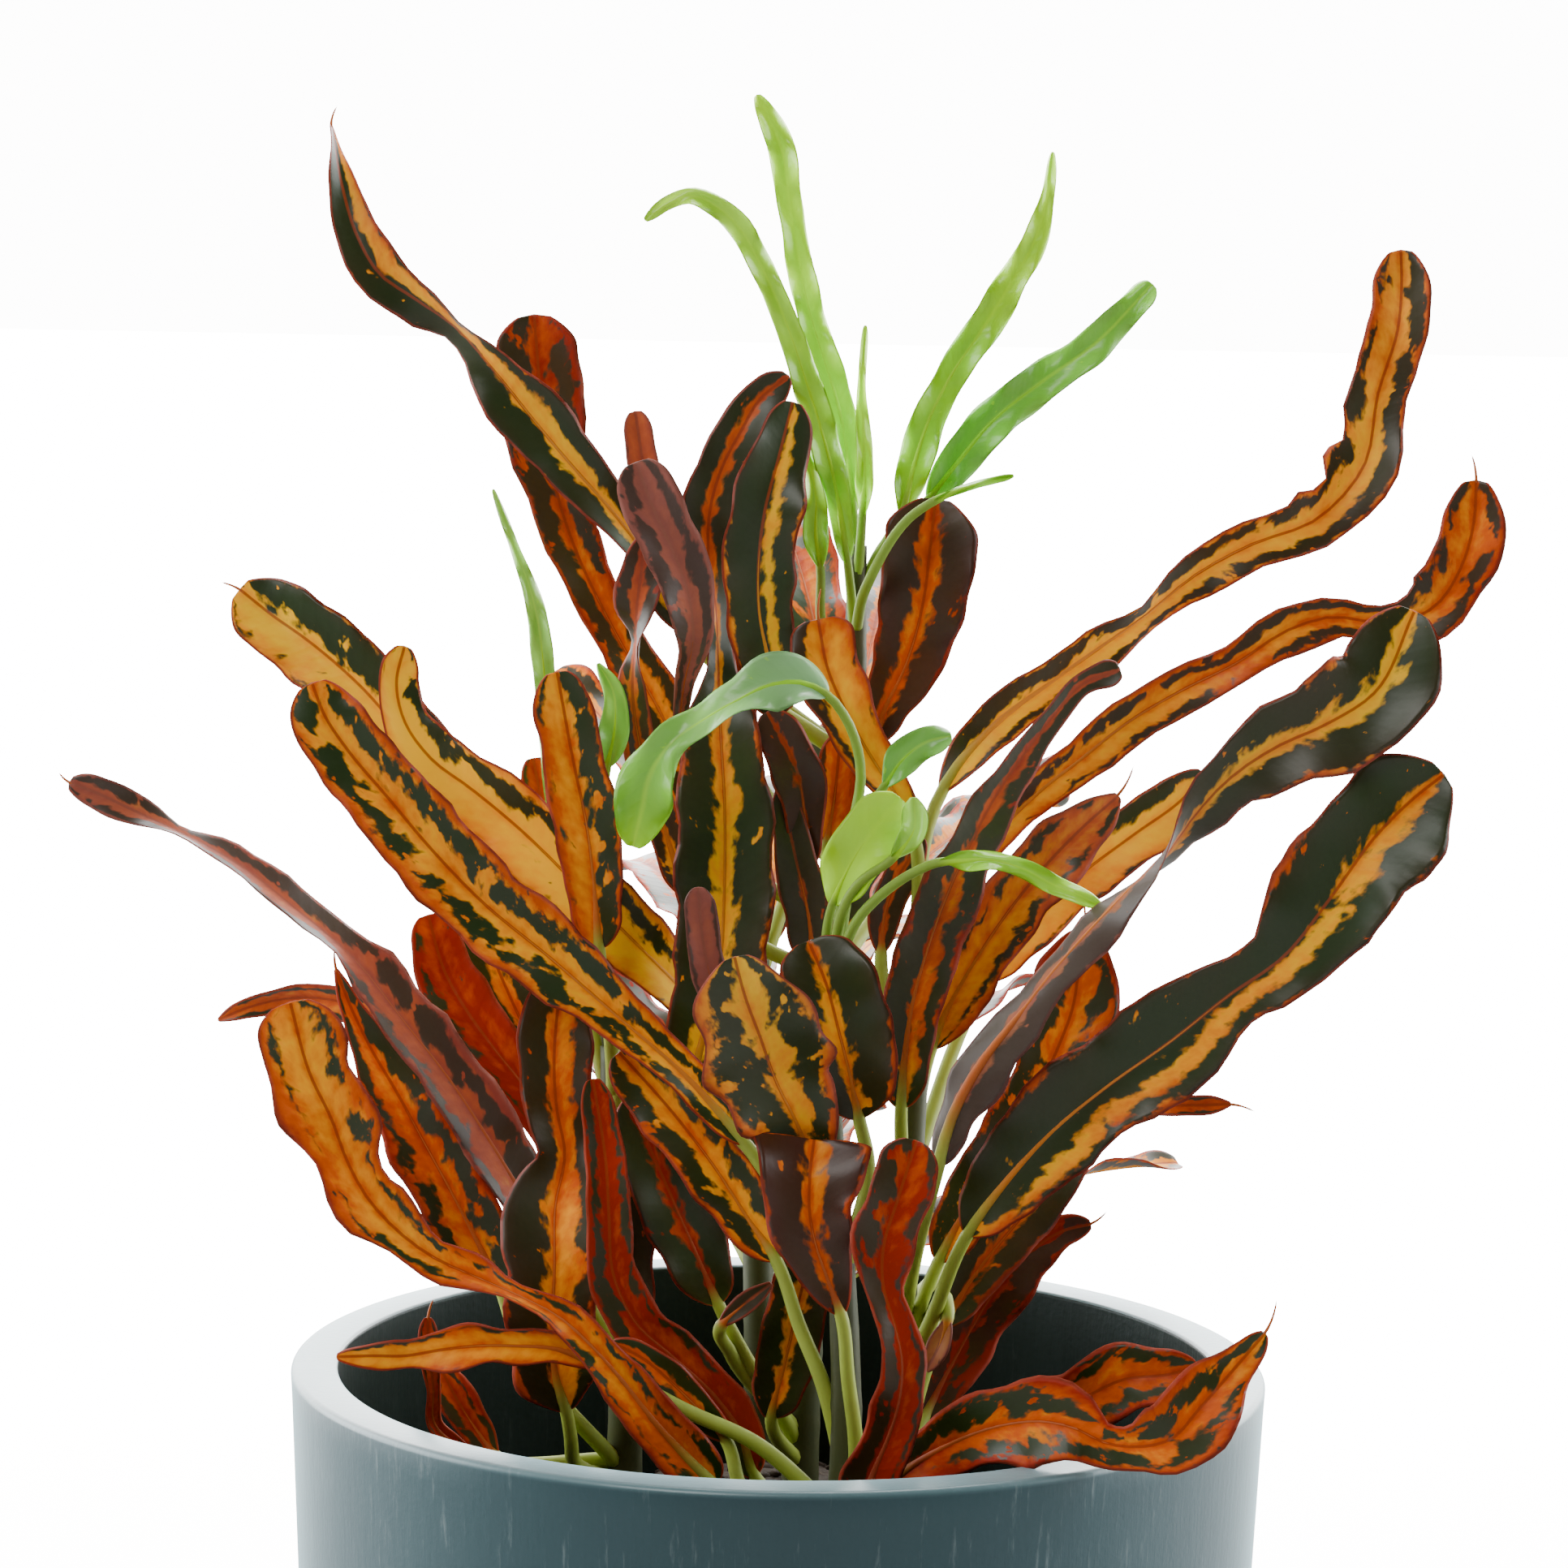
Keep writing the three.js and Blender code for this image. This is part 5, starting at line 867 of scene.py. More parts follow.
# %% The tubes' measures
TUBE_SIDES = 10
RIB_ROWS = 44
STALK_RADIUS = (1.45, 1.1)
SHOOT_STALK_RADIUS = (1.0, 0.75)
RIB_RADIUS = (0.5, 0.12)
RIB_END = 0.985
RIB_CROWDING = 0.9
RIB_THINNED = 0.25
RIB_SINK = 0.12
RIB_DEPTH = 0.3
RIB_SINK_RATE = 6.0
RIB_DEPTH_RATE = 5.0
STEM_ROW = 2.5
STEM_ROWS = 12
STEM_SHARE = 0.98
STEM_CAP_SHARE = 0.97
SCAR_RATE = 1.9
SCAR_RISE = 0.06
SCAR_SHARPNESS = 6
STEM_TONE = -1.0
AWN_ROWS = 7
AWN_RADIUS = (0.30, 0.13)
AWN_ROOT = 1.0
AWN_HUE = 0.6
AWNS = {
    "far_right": (1.5, 5.0),
    "sky_left": (2.0, 4.0),
    "orange_right": (-1.0, 6.0),
    "curl_right": (-1.0, 5.0),
    "folded_orange": (1.5, 6.0),
    "round_left": (-1.0, 4.0),
    "long_left": (1.0, 3.0),
    "dark_red_right": (-1.5, 4.0),
    "rim_right": (-2.0, 6.0),
    "low_small": (1.0, 4.0),
    "streaked_left": (1.0, 4.0),
    "yellow_right": (-2.0, 6.0),
}


# %% Roll a tube along a path
def add_tube(bm, rings):
    """Adds a tube. A ring has a centre, two directions, a radius, its share of the way along the
    blade and its hue."""
    rows = len(rings) - 1
    tone = bm.verts.layers.float_vector["tone"]
    made = bmesh.ops.create_grid(bm, x_segments=TUBE_SIDES, y_segments=rows, size=1.0)["verts"]
    for vert in made:
        angle = math.pi * (vert.co.x + 1.0)
        centre, side, normal, radius, share, hue = rings[round((vert.co.y + 1.0) / 2.0 * rows)]
        sideways, outward = radius * math.sin(angle), -radius * math.cos(angle)
        vert.co = (centre + side * sideways + normal * outward) * MM
        vert[tone] = (share, hue, 0.0)
    bmesh.ops.remove_doubles(bm, verts=made, dist=MERGE)


# %% Stalks, dry hairs and stems
def rib_radius(radii, onward):
    if onward < RIB_THINNED:
        return mix(radii[1], RIB_RADIUS[0], onward / RIB_THINNED)
    return mix(*RIB_RADIUS, onward)


def add_stalk(bm, leaf, radii, look):
    knots, at = smooth_rows(leaf["rows"])
    length = knots[-1]
    start = knots[leaf["blade_start"]]
    rings = []
    for k in range(RIB_ROWS + 1):
        t = length * (k / RIB_ROWS) ** RIB_CROWDING * RIB_END
        point, side, normal, _ = leaf_frame(leaf, at, length, t)
        onward = max(0.0, (t - start) / (length - start))
        sunk = 0.0
        if t < start:
            radius = mix(*radii, t / start)
        else:
            radius = rib_radius(radii, onward)
            sunk = radius - RIB_SINK * min(1.0, onward * RIB_SINK_RATE) - RIB_DEPTH
            sunk = max(0.0, sunk) * min(1.0, onward * RIB_DEPTH_RATE)
        if k in (0, RIB_ROWS):
            radius = 0.0
        hue = mix(look[0], look[1], onward)
        rings.append((point - normal * sunk, side, normal, radius, onward, hue))
    add_tube(bm, rings)


def add_awn(bm, leaf, sideways, length):
    """Adds the dry hair on a leaf's tip. It runs on from the midrib and bends sideways."""
    knots, at = smooth_rows(leaf["rows"])
    end = knots[-1]
    tip = Vector(at(end)[:3])
    along = heading(at, end, end)
    _, side, normal, _ = leaf_frame(leaf, at, end, end)
    rings = []
    for k in range(AWN_ROWS + 1):
        share = k / AWN_ROWS
        centre = tip + along * (length * share - AWN_ROOT) + side * (sideways * share * share)
        radius = 0.0 if k in (0, AWN_ROWS) else mix(*AWN_RADIUS, share)
        rings.append((centre, side, normal, radius, 1.0, AWN_HUE))
    add_tube(bm, rings)


def add_stem(bm, path, radii):
    knots, at = smooth_rows(path)
    length = knots[-1]
    rows = max(STEM_ROWS, round(length / STEM_ROW))
    rings = []
    for k in range(rows + 1):
        t = length * k / rows
        along = heading(at, t, length)
        side = Vector((0.0, 1.0, 0.0)).cross(along).normalized()
        scar = 1.0 + SCAR_RISE * max(0.0, math.sin(t / SCAR_RATE)) ** SCAR_SHARPNESS
        radius = mix(*radii, k / rows) * scar * STEM_SHARE
        if k in (0, rows):
            radius = 0.0
        rings.append((Vector(at(t)[:3]), side, -along.cross(side), radius, 0.0, STEM_TONE))
    first, last = rings[0], rings[-1]
    rings.insert(1, (first[0], *rings[1][1:3], radii[0] * STEM_CAP_SHARE, 0.0, STEM_TONE))
    rings.insert(-1, (last[0], *rings[-2][1:3], radii[1] * STEM_CAP_SHARE, 0.0, STEM_TONE))
    add_tube(bm, rings)


# %% [markdown]
# ## Material helpers
# Each finish is a small node tree. A Field stands for a value that changes over the surface, and
# plain arithmetic on it adds the Math nodes, so that the trees below read like formulas.


# %% Fields
class Field:
    """An output socket of a node tree, with arithmetic."""

    def __init__(self, socket):
        self.socket = socket
        self.tree = socket.id_data

    def __add__(self, other):
        return calculate("ADD", self, other)

    def __sub__(self, other):
        return calculate("SUBTRACT", self, other)

    def __rsub__(self, other):
        return calculate("SUBTRACT", other, self)

    def __mul__(self, other):
        return calculate("MULTIPLY", self, other)

    def __pow__(self, other):
        return calculate("POWER", self, other)

    def __abs__(self):
        return calculate("ABSOLUTE", self)

    def clamped(self):
        self.socket.node.use_clamp = True
        return self


def feed(value, socket):
    """Joins a field to a socket, or sets the socket to a number or a colour."""
    if isinstance(value, Field):
        value.tree.links.new(value.socket, socket)
    elif isinstance(value, tuple):
        socket.default_value = (*value, 1.0)
    else:
        socket.default_value = value


def add(tree, kind, **settings):
    node = tree.nodes.new(kind)
    for key, value in settings.items():
        setattr(node, key, value)
    return node


def calculate(operation, *values):
    tree = next(value.tree for value in values if isinstance(value, Field))
    node = add(tree, "ShaderNodeMath", operation=operation)
    for socket, value in zip(node.inputs, values):
        feed(value, socket)
    return Field(node.outputs[0])


def larger(first, second):
    return calculate("MAXIMUM", first, second)


# %% Node helpers
def ramp_up(value, low, high):
    """From 0 below the low value to 1 above the high one, with a smooth step between."""
    node = add(value.tree, "ShaderNodeMapRange", interpolation_type="SMOOTHSTEP")
    for name, setting in (("Value", value), ("From Min", low), ("From Max", high)):
        feed(setting, node.inputs[name])
    return Field(node.outputs["Result"])


def blend(share, first, second):
    node = add(share.tree, "ShaderNodeMix", data_type="RGBA")
    for number, value in ((0, share), (6, first), (7, second)):
        feed(value, node.inputs[number])
    return Field(node.outputs[2])


def color_ramp(value, stops):
    node = add(value.tree, "ShaderNodeValToRGB")
    elements = node.color_ramp.elements
    elements[0].position, elements[0].color = stops[0][0], (*stops[0][1], 1.0)
    elements[1].position, elements[1].color = stops[-1][0], (*stops[-1][1], 1.0)
    for position, color in stops[1:-1]:
        elements.new(position).color = (*color, 1.0)
    feed(value, node.inputs["Fac"])
    return Field(node.outputs["Color"])


def noise_field(vector, scale, detail=3.0, rough=0.55, distortion=0.0):
    node = add(vector.tree, "ShaderNodeTexNoise")
    settings = {"Vector": vector, "Scale": scale, "Detail": detail, "Roughness": rough}
    for name, value in (settings | {"Distortion": distortion}).items():
        feed(value, node.inputs[name])
    return Field(node.outputs["Fac"])


def attribute(tree, name, part="Vector"):
    return Field(add(tree, "ShaderNodeAttribute", attribute_name=name).outputs[part])


def coordinates(tree, kind="Object"):
    return Field(add(tree, "ShaderNodeTexCoord").outputs[kind])


def camera_rays(tree):
    return Field(add(tree, "ShaderNodeLightPath").outputs["Is Camera Ray"])


def split(vector):
    node = add(vector.tree, "ShaderNodeSeparateXYZ")
    feed(vector, node.inputs[0])
    return [Field(output) for output in node.outputs]


def gather(x, y, z):
    node = add(x.tree, "ShaderNodeCombineXYZ")
    for socket, value in zip(node.inputs, (x, y, z)):
        feed(value, socket)
    return Field(node.outputs[0])


# %% Start and finish a material
def new_material(name):
    material = bpy.data.materials.new(name)
    material.use_nodes = True
    material.node_tree.nodes.clear()
    return material, material.node_tree


def finish(tree, settings, relief=None):
    """Adds the shader with its settings, and a bump from a height, a strength and a distance."""
    shader = add(tree, "ShaderNodeBsdfPrincipled")
    for name, value in settings.items():
        feed(value, shader.inputs[name])
    if relief:
        bump = add(tree, "ShaderNodeBump")
        for name, value in zip(("Height", "Strength", "Distance"), relief):
            feed(value, bump.inputs[name])
        tree.links.new(bump.outputs[0], shader.inputs["Normal"])
    tree.links.new(shader.outputs[0], add(tree, "ShaderNodeOutputMaterial").inputs["Surface"])


# %% [markdown]
# ## Vein coordinates
# A croton's blotches end along its side veins, which leave the midrib at an angle. This group
# leans the pattern's coordinates the same way and gives back three noises and the veins' relief.

# %% Group: vein-aligned noise
# The veins are half turns of a sine, and VEIN_RATE is its angle per millimetre, in radians. A noise
# is given by its scale, detail, roughness and distortion.
VEIN_RATE = 1.3
VEIN_SHARPNESS = 6.0
ACROSS_SCALE = 0.27
ALONG_SCALE = 0.2
BLOTCH_NOISE = (1.0, 3.0, 0.5, 0.2)
FINE_NOISE = (2.2, 3.0, 0.5)
BROAD_NOISE = (0.3, 2.0, 0.5)
vein_group = bpy.data.node_groups.new("vein_pattern", "ShaderNodeTree")
for socket_name, kind in (("Spot", "NodeSocketVector"), ("Lean", "NodeSocketFloat")):
    vein_group.interface.new_socket(socket_name, in_out="INPUT", socket_type=kind)
for socket_name in ("Blotch", "Fine", "Broad", "Veins"):
    vein_group.interface.new_socket(socket_name, in_out="OUTPUT", socket_type="NodeSocketFloat")
group_in = add(vein_group, "NodeGroupInput")
group_out = add(vein_group, "NodeGroupOutput")
across_mm, along_mm, leaf_seed = split(Field(group_in.outputs["Spot"]))
leaned = along_mm - abs(across_mm) * Field(group_in.outputs["Lean"])
blotch_at = gather(across_mm * ACROSS_SCALE, leaned * ALONG_SCALE, leaf_seed)
feed(noise_field(blotch_at, *BLOTCH_NOISE), group_out.inputs["Blotch"])
feed(noise_field(blotch_at, *FINE_NOISE), group_out.inputs["Fine"])
feed(noise_field(blotch_at, *BROAD_NOISE), group_out.inputs["Broad"])
vein_wave = abs(calculate("SINE", leaned * VEIN_RATE))
feed(vein_wave**VEIN_SHARPNESS, group_out.inputs["Veins"])


def vein_pattern(tree, lean):
    node = add(tree, "ShaderNodeGroup", node_tree=vein_group)
    feed(attribute(tree, "spot"), node.inputs["Spot"])
    feed(lean, node.inputs["Lean"])
    return {output.name: Field(output) for output in node.outputs}


# %% [markdown]
# ## The croton leaf's finish
# The bright band follows the midrib and its edge is ragged. Dark lanes lie on both sides of it, with
# bright specks and gaps in them, a red line runs round the margin, and the wax gives the dark parts
# a soft gloss. The underside is the same pattern, seen through a dusky pink.

# %% Croton leaf colours and limits
YELLOW = (0.98, 0.53, 0.002)
AMBER = (0.90, 0.31, 0.002)
ORANGE = (0.60, 0.090, 0.002)
RED = (0.27, 0.012, 0.001)
DARK_GREEN = (0.013, 0.027, 0.002)
MAROON = (0.046, 0.012, 0.004)
MARGIN_RED = (0.30, 0.030, 0.008)
MIDRIB_RED = (0.26, 0.035, 0.004)
DUSKY_PINK = (0.22, 0.095, 0.075)
DUSKY_SHADE = (0.062, 0.036, 0.028)
LEAF_LEAN = 0.6
MARGIN_LINE = 0.42
MIDRIB_LINE = 0.26
MIDRIB_COVER = 0.8
LINE_FADE = (0.6, 1.3)

# How the band and its lanes are broken up. RAGGED, HOLE, GAP and ISLAND change with the leaf's
# patchiness: a slope and a start. An edge is the pair of values between which a mask fades in.
NARROWER = 0.05
RAGGED = (1.7, 0.35)
FRAYED = 0.5
BAND_EDGE = (-0.10, 0.07)
MARGIN_START = 1.02
MARGIN_WANDER = 0.95
CALM_PATCH = 0.28
PATCH_WANDER = 0.9
MARGIN_EDGE = (-0.06, 0.06)
HOLE = (-0.17, 0.77)
GAP = (-0.27, 0.75)
HOLE_EDGE = (-0.02, 0.03)
ISLAND = (0.17, 0.24)
ISLAND_EDGE = (-0.03, 0.02)
ISLANDS_FROM = (0.15, 0.45)

# How the colours change over the blade.
FRESHER = 0.06
BROAD_SHIFT = 0.7
MOTTLE = 0.5
EDGE_RED = 0.5
EDGE_RED_POWER = 3.0
EDGE_MAROON = 0.5
EDGE_MAROON_POWER = 6.0
RIB_WARMTH = 0.16
RIB_REACH = (0.2, 1.3)
UNDER_DUSK = 0.7
DUSK_COVER = 0.78
LEAF_ROUGH = 0.30
FINE_ROUGH = 0.25
UNDER_ROUGH = 0.35
WAX = 0.55
VEIN_RELIEF = 0.25
FINE_RELIEF_DEPTH = 0.0003


# %% Lanes and lines
def sloped(value, slope, start):
    return value * slope + start


def lane_mask(s, from_band, band, patch, pattern):
    """Dark lanes on both sides of the band, ragged on both edges, with holes and gaps in them."""
    blotch = (pattern["Blotch"] - 0.5) * sloped(patch, *RAGGED)
    fine = (pattern["Fine"] - 0.5) * FRAYED
    outside = ramp_up(from_band - (band + blotch + fine), *BAND_EDGE)
    patchy = larger((patch - CALM_PATCH) * PATCH_WANDER, 0.0)
    wander = (pattern["Broad"] - 0.5) * MARGIN_WANDER + patchy
    before_margin = ramp_up(MARGIN_START - wander + fine - s, *MARGIN_EDGE)
    hole = ramp_up(pattern["Fine"] - sloped(patch, *HOLE), *HOLE_EDGE)
    gap = ramp_up(pattern["Blotch"] - sloped(patch, *GAP), *HOLE_EDGE)
    lane = outside * before_margin * (1.0 - larger(hole, gap))
    island = ramp_up(sloped(patch, *ISLAND) - pattern["Blotch"], *ISLAND_EDGE)
    return larger(lane, island * ramp_up(s, *ISLANDS_FROM))


def line_mask(distance, width):
    return 1.0 - ramp_up(distance, *(width * share for share in LINE_FADE))


# %% Croton leaf material
def leaf_material():
    material, tree = new_material("croton_leaf")
    across, upper, _ = split(attribute(tree, "where"))
    hue, ground, band = split(attribute(tree, "look"))
    dusk, half_width, offset = split(attribute(tree, "dusk"))
    patch = attribute(tree, "look", "Alpha")
    pattern = vein_pattern(tree, LEAF_LEAN)
    s = abs(across)
    half_mm = half_width * WIDTH_UNIT
    dark = lane_mask(s, abs(across - offset), band - NARROWER, patch, pattern)

    shift = (pattern["Broad"] - 0.5) * BROAD_SHIFT
    mottle = (pattern["Fine"] - 0.5) * MOTTLE
    warm_rib = (1.0 - ramp_up(s * half_mm, *RIB_REACH)) * RIB_WARMTH
    edge_red = s**EDGE_RED_POWER * EDGE_RED
    hue_here = (hue - FRESHER + shift + edge_red + mottle + warm_rib).clamped()
    bright = color_ramp(hue_here, [(0.0, YELLOW), (0.33, AMBER), (0.62, ORANGE), (1.0, RED)])
    ground_here = (ground + shift + s**EDGE_MAROON_POWER * EDGE_MAROON).clamped()
    color = blend(dark, bright, blend(ground_here, DARK_GREEN, MAROON))

    color = blend(line_mask((1.0 - s) * half_mm, MARGIN_LINE), color, MARGIN_RED)
    color = blend(line_mask(s * half_mm, MIDRIB_LINE) * MIDRIB_COVER, color, MIDRIB_RED)
    under = 1.0 - upper
    dusky = (dusk + under * UNDER_DUSK).clamped() * DUSK_COVER
    color = blend(dusky, color, blend(dark, DUSKY_PINK, DUSKY_SHADE))
    settings = {
        "Base Color": color,
        "Roughness": pattern["Fine"] * FINE_ROUGH + LEAF_ROUGH + under * UNDER_ROUGH,
        "Specular IOR Level": 0.10,
        "Coat Weight": dark * WAX,
        "Coat Roughness": 0.36,
    }
    height = pattern["Veins"] * VEIN_RELIEF + pattern["Fine"]
    finish(tree, settings, relief=(height, 0.35, FINE_RELIEF_DEPTH))
    return material


# %% [markdown]
# ## The green shoots, the stalks and the stems
# Young leaves are lime green and deepen as they open. Stalks are pale green where they leave the
# stem and take the band's colour as they run on as midribs. Old stems are grey-brown.

# %% Shoot and stalk colours and limits
LIME = (0.50, 0.88, 0.003)
LEAF_GREEN = (0.22, 0.60, 0.004)
DEEP_GREEN = (0.055, 0.28, 0.012)
# A pale bluish green laid over the shoots: partly a young leaf's wax bloom, partly a painted sheen.
BLOOM_AND_SHEEN = (0.24, 0.38, 0.25)
STALK_GREEN = (0.30, 0.38, 0.045)
SHOOT_STALK_GREEN = (0.20, 0.34, 0.03)
STALK_GRIME = (0.10, 0.09, 0.03)
STEM_BROWN = (0.030, 0.040, 0.010)
RIB_COLORS = [(0.0, (0.72, 0.28, 0.01)), (0.5, (0.50, 0.10, 0.008)), (1.0, (0.32, 0.03, 0.008))]
SHOOT_RIB_COLORS = [(0.0, LIME), (1.0, LEAF_GREEN)]
SHOOT_COLORS = [(0.0, LIME), (0.5, LEAF_GREEN), (1.0, DEEP_GREEN)]
SHOOT_LEAN = 0.9
SHOOT_SHIFT = 0.5
SHOOT_MIDRIB = (0.0, 0.16)
PALE_MIDRIB = 0.5
BLOOM_AND_SHEEN_COVER = 0.7
SPECKS = (0.70, 0.73)
SPECK_COVER = 0.35
SHOOT_VEIN_RELIEF = 0.3
STALK_GRAIN = 260.0
GREEN_BEFORE = (0.0, 0.12)
GRIME_COVER = 0.35


# %% Shoot and stalk materials
def shoot_material():
    material, tree = new_material("green_shoot_leaf")
    s = abs(split(attribute(tree, "where"))[0])
    depth = split(attribute(tree, "look"))[0]
    bloom_and_sheen = split(attribute(tree, "dusk"))[0]
    pattern = vein_pattern(tree, SHOOT_LEAN)
    depth = (depth + (pattern["Broad"] - 0.5) * SHOOT_SHIFT).clamped()
    color = color_ramp(depth, SHOOT_COLORS)
    midrib = 1.0 - ramp_up(s, *SHOOT_MIDRIB)
    color = blend(midrib * PALE_MIDRIB, color, LIME)
    # The pale bluish tone: partly wax bloom, partly painted sheen.
    color = blend(bloom_and_sheen * BLOOM_AND_SHEEN_COVER, color, BLOOM_AND_SHEEN)
    color = blend(ramp_up(pattern["Fine"], *SPECKS) * SPECK_COVER, color, LIME)
    settings = {"Base Color": color, "Roughness": 0.3, "Specular IOR Level": 0.35}
    height = pattern["Veins"] * SHOOT_VEIN_RELIEF + pattern["Fine"]
    finish(tree, settings, relief=(height, 0.25, FINE_RELIEF_DEPTH))
    return material


def stalk_material(name, base_color, rib_colors):
    material, tree = new_material(name)
    on_blade, hue, _ = split(attribute(tree, "tone"))
    grain = noise_field(coordinates(tree), STALK_GRAIN, 4.0)
    color = blend(ramp_up(on_blade, *GREEN_BEFORE), base_color, color_ramp(hue, rib_colors))
    color = blend(calculate("LESS_THAN", hue, STEM_TONE / 2.0), color, STEM_BROWN)
    color = blend(grain * GRIME_COVER, color, STALK_GRIME)
    settings = {"Base Color": color, "Roughness": 0.55, "Specular IOR Level": 0.3}
    finish(tree, settings, relief=(grain, 0.25, 0.0004))
    return material


croton_leaf = leaf_material()
green_leaf = shoot_material()
croton_stalk = stalk_material("croton_stalk", STALK_GREEN, RIB_COLORS)
green_stalk = stalk_material("green_shoot_stalk", SHOOT_STALK_GREEN, SHOOT_RIB_COLORS)
print("materials:", sorted(material.name for material in bpy.data.materials))

# %% [markdown]
# ## Build the plant
# Each stem's leaves are one piece and its stalks are another, and both stand for the stem's node.


# %% Build leaves and stalks
def new_piece(name, bm, material, nodes):
    mesh = bpy.data.meshes.new(name)
    bm.to_mesh(mesh)
    bm.free()
    mesh.materials.append(material)
    mesh.shade_smooth()
    piece = link(name, mesh)
    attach(piece, "root")
    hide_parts(*nodes)
    print(f"{name}: {sum(len(p.vertices) - 2 for p in mesh.polygons)} triangles")
    return piece


def back_look(key):
    """Colours of a leaf that the photograph doesn't show, by seeded draws."""
    draw = random.Random(f"look {key}")
    hue = draw.uniform(0.2, 0.9)
    ground = draw.uniform(0.0, 0.6)
    band, patch, lean = draw.uniform(0.25, 0.5), draw.uniform(0.2, 0.6), draw.uniform(-0.3, 0.3)
    return (hue, hue + draw.uniform(-0.1, 0.2), ground, band, patch, -0.45, -0.45, lean, 0.0)


def shoot_look(name):
    base_depth, tip_depth, base_bloom_and_sheen, tip_bloom_and_sheen = SHOOT_LOOKS[name]
    return (base_depth, tip_depth, 0.0, 0.0, 0.0, base_bloom_and_sheen, tip_bloom_and_sheen, 0.0, 0.0)


def build_leaves(node, leaves, looks, material):
    bm = bmesh.new()
    layers = {name: bm.verts.layers.float_vector.new(name) for name in ("where", "spot", "dusk")}
    layers["look"] = bm.verts.layers.float_color.new("look")
    for number, leaf in enumerate(leaves):
        add_blade(bm, layers, leaf, number, looks[number])
    return new_piece(f"{node}_leaves", bm, material, [node])


def build_stalks(node, leaves, looks, path, radii, stalk_radii, material):
    bm = bmesh.new()
    bm.verts.layers.float_vector.new("tone")
    add_stem(bm, path, radii)
    for leaf, look in zip(leaves, looks):
        add_stalk(bm, leaf, stalk_radii, look)
        if leaf["name"] in AWNS:
            add_awn(bm, leaf, *AWNS[leaf["name"]])
    bmesh.ops.recalc_face_normals(bm, faces=bm.faces)
    return new_piece(f"{node}_stalks", bm, material, [node])


# %% Build the stems and the shoots
for node, (radii, path) in STEMS.items():
    rooted = [[*path[0][:2], height] for height in (STEM_FOOT, STEM_ROOTED)] + path
    leaves = [seen_leaf(row, rooted) for row in LEAVES[node]] + back_leaves(node, rooted)
    looks = [LOOKS.get(leaf["name"]) or back_look(f"{node} {i}") for i, leaf in enumerate(leaves)]
    build_leaves(node, leaves, looks, croton_leaf)
    build_stalks(node, leaves, looks, rooted, radii, STALK_RADIUS, croton_stalk)

for node, (radii, path) in SHOOTS.items():
    leaves = [seen_leaf(row, path) | {"ripple": SHOOT_RIPPLE} for row in SHOOT_LEAVES[node]]
    looks = [shoot_look(leaf["name"]) for leaf in leaves]
    build_leaves(node, leaves, looks, green_leaf)
    build_stalks(node, leaves, looks, path, radii, SHOOT_STALK_RADIUS, green_stalk)

# %% [markdown]
# ## The pot
# The real pot is moulded in one piece and is a plain tapered round with a thick rim. Half of its
# section is drawn once and spun about the axis, and the rim's edges are rounded in the section.

# %% Spin the pot
POT_HEIGHT = 150.0
RIM_RADIUS = 80.0
BASE_RADIUS = 73.7
RIM_WALL = 7.7
FLOOR = 8.0
FOOT_ROUNDING = 1.5
RIM_ROUNDING = 1.1
INNER_ROUNDING = 0.8
OUTER_RINGS = range(10, 146, 15)
INNER_RINGS = range(140, 10, -10)
SPIN_STEPS = 160


def outer_at(height):
    return BASE_RADIUS + (RIM_RADIUS - BASE_RADIUS) * height / POT_HEIGHT


def inner_at(height):
    return outer_at(height) - RIM_WALL


def rounded_corner(centre, radius, first, last, steps=5):
    angles = [math.radians(mix(first, last, i / steps)) for i in range(steps + 1)]
    return [(centre[0] + radius * math.cos(a), centre[1] + radius * math.sin(a)) for a in angles]


def spin_section(section, steps=SPIN_STEPS):
    bm = bmesh.new()
    verts = [bm.verts.new((r * MM, 0.0, z * MM)) for r, z in section]
    edges = [bm.edges.new(pair) for pair in zip(verts, verts[1:])]
    bmesh.ops.spin(
        bm,
        geom=verts + edges,
        axis=(0.0, 0.0, 1.0),
        cent=(0.0, 0.0, 0.0),
        steps=steps,
        angle=2.0 * math.pi,
        use_merge=True,
    )
    bmesh.ops.remove_doubles(bm, verts=bm.verts, dist=MERGE)
    bmesh.ops.recalc_face_normals(bm, faces=bm.faces)
    return bm


inner_rim = RIM_RADIUS - RIM_WALL
foot = (BASE_RADIUS - FOOT_ROUNDING, FOOT_ROUNDING)
outer_corner = (RIM_RADIUS - RIM_ROUNDING, POT_HEIGHT - RIM_ROUNDING)
inner_corner = (inner_rim + INNER_ROUNDING, POT_HEIGHT - INNER_ROUNDING)
pot_section = [(0.0, 0.0), (foot[0], 0.0)]
pot_section += rounded_corner(foot, FOOT_ROUNDING, -90, 0)[1:]
pot_section += [(outer_at(z), z) for z in OUTER_RINGS]
pot_section += rounded_corner(outer_corner, RIM_ROUNDING, 0, 90)
pot_section += rounded_corner(inner_corner, INNER_ROUNDING, 90, 180)
pot_section += [(inner_at(z), z) for z in INNER_RINGS]
pot_section += [(inner_at(FLOOR), FLOOR), (0.0, FLOOR)]
print("the pot's section has", len(pot_section), "points")
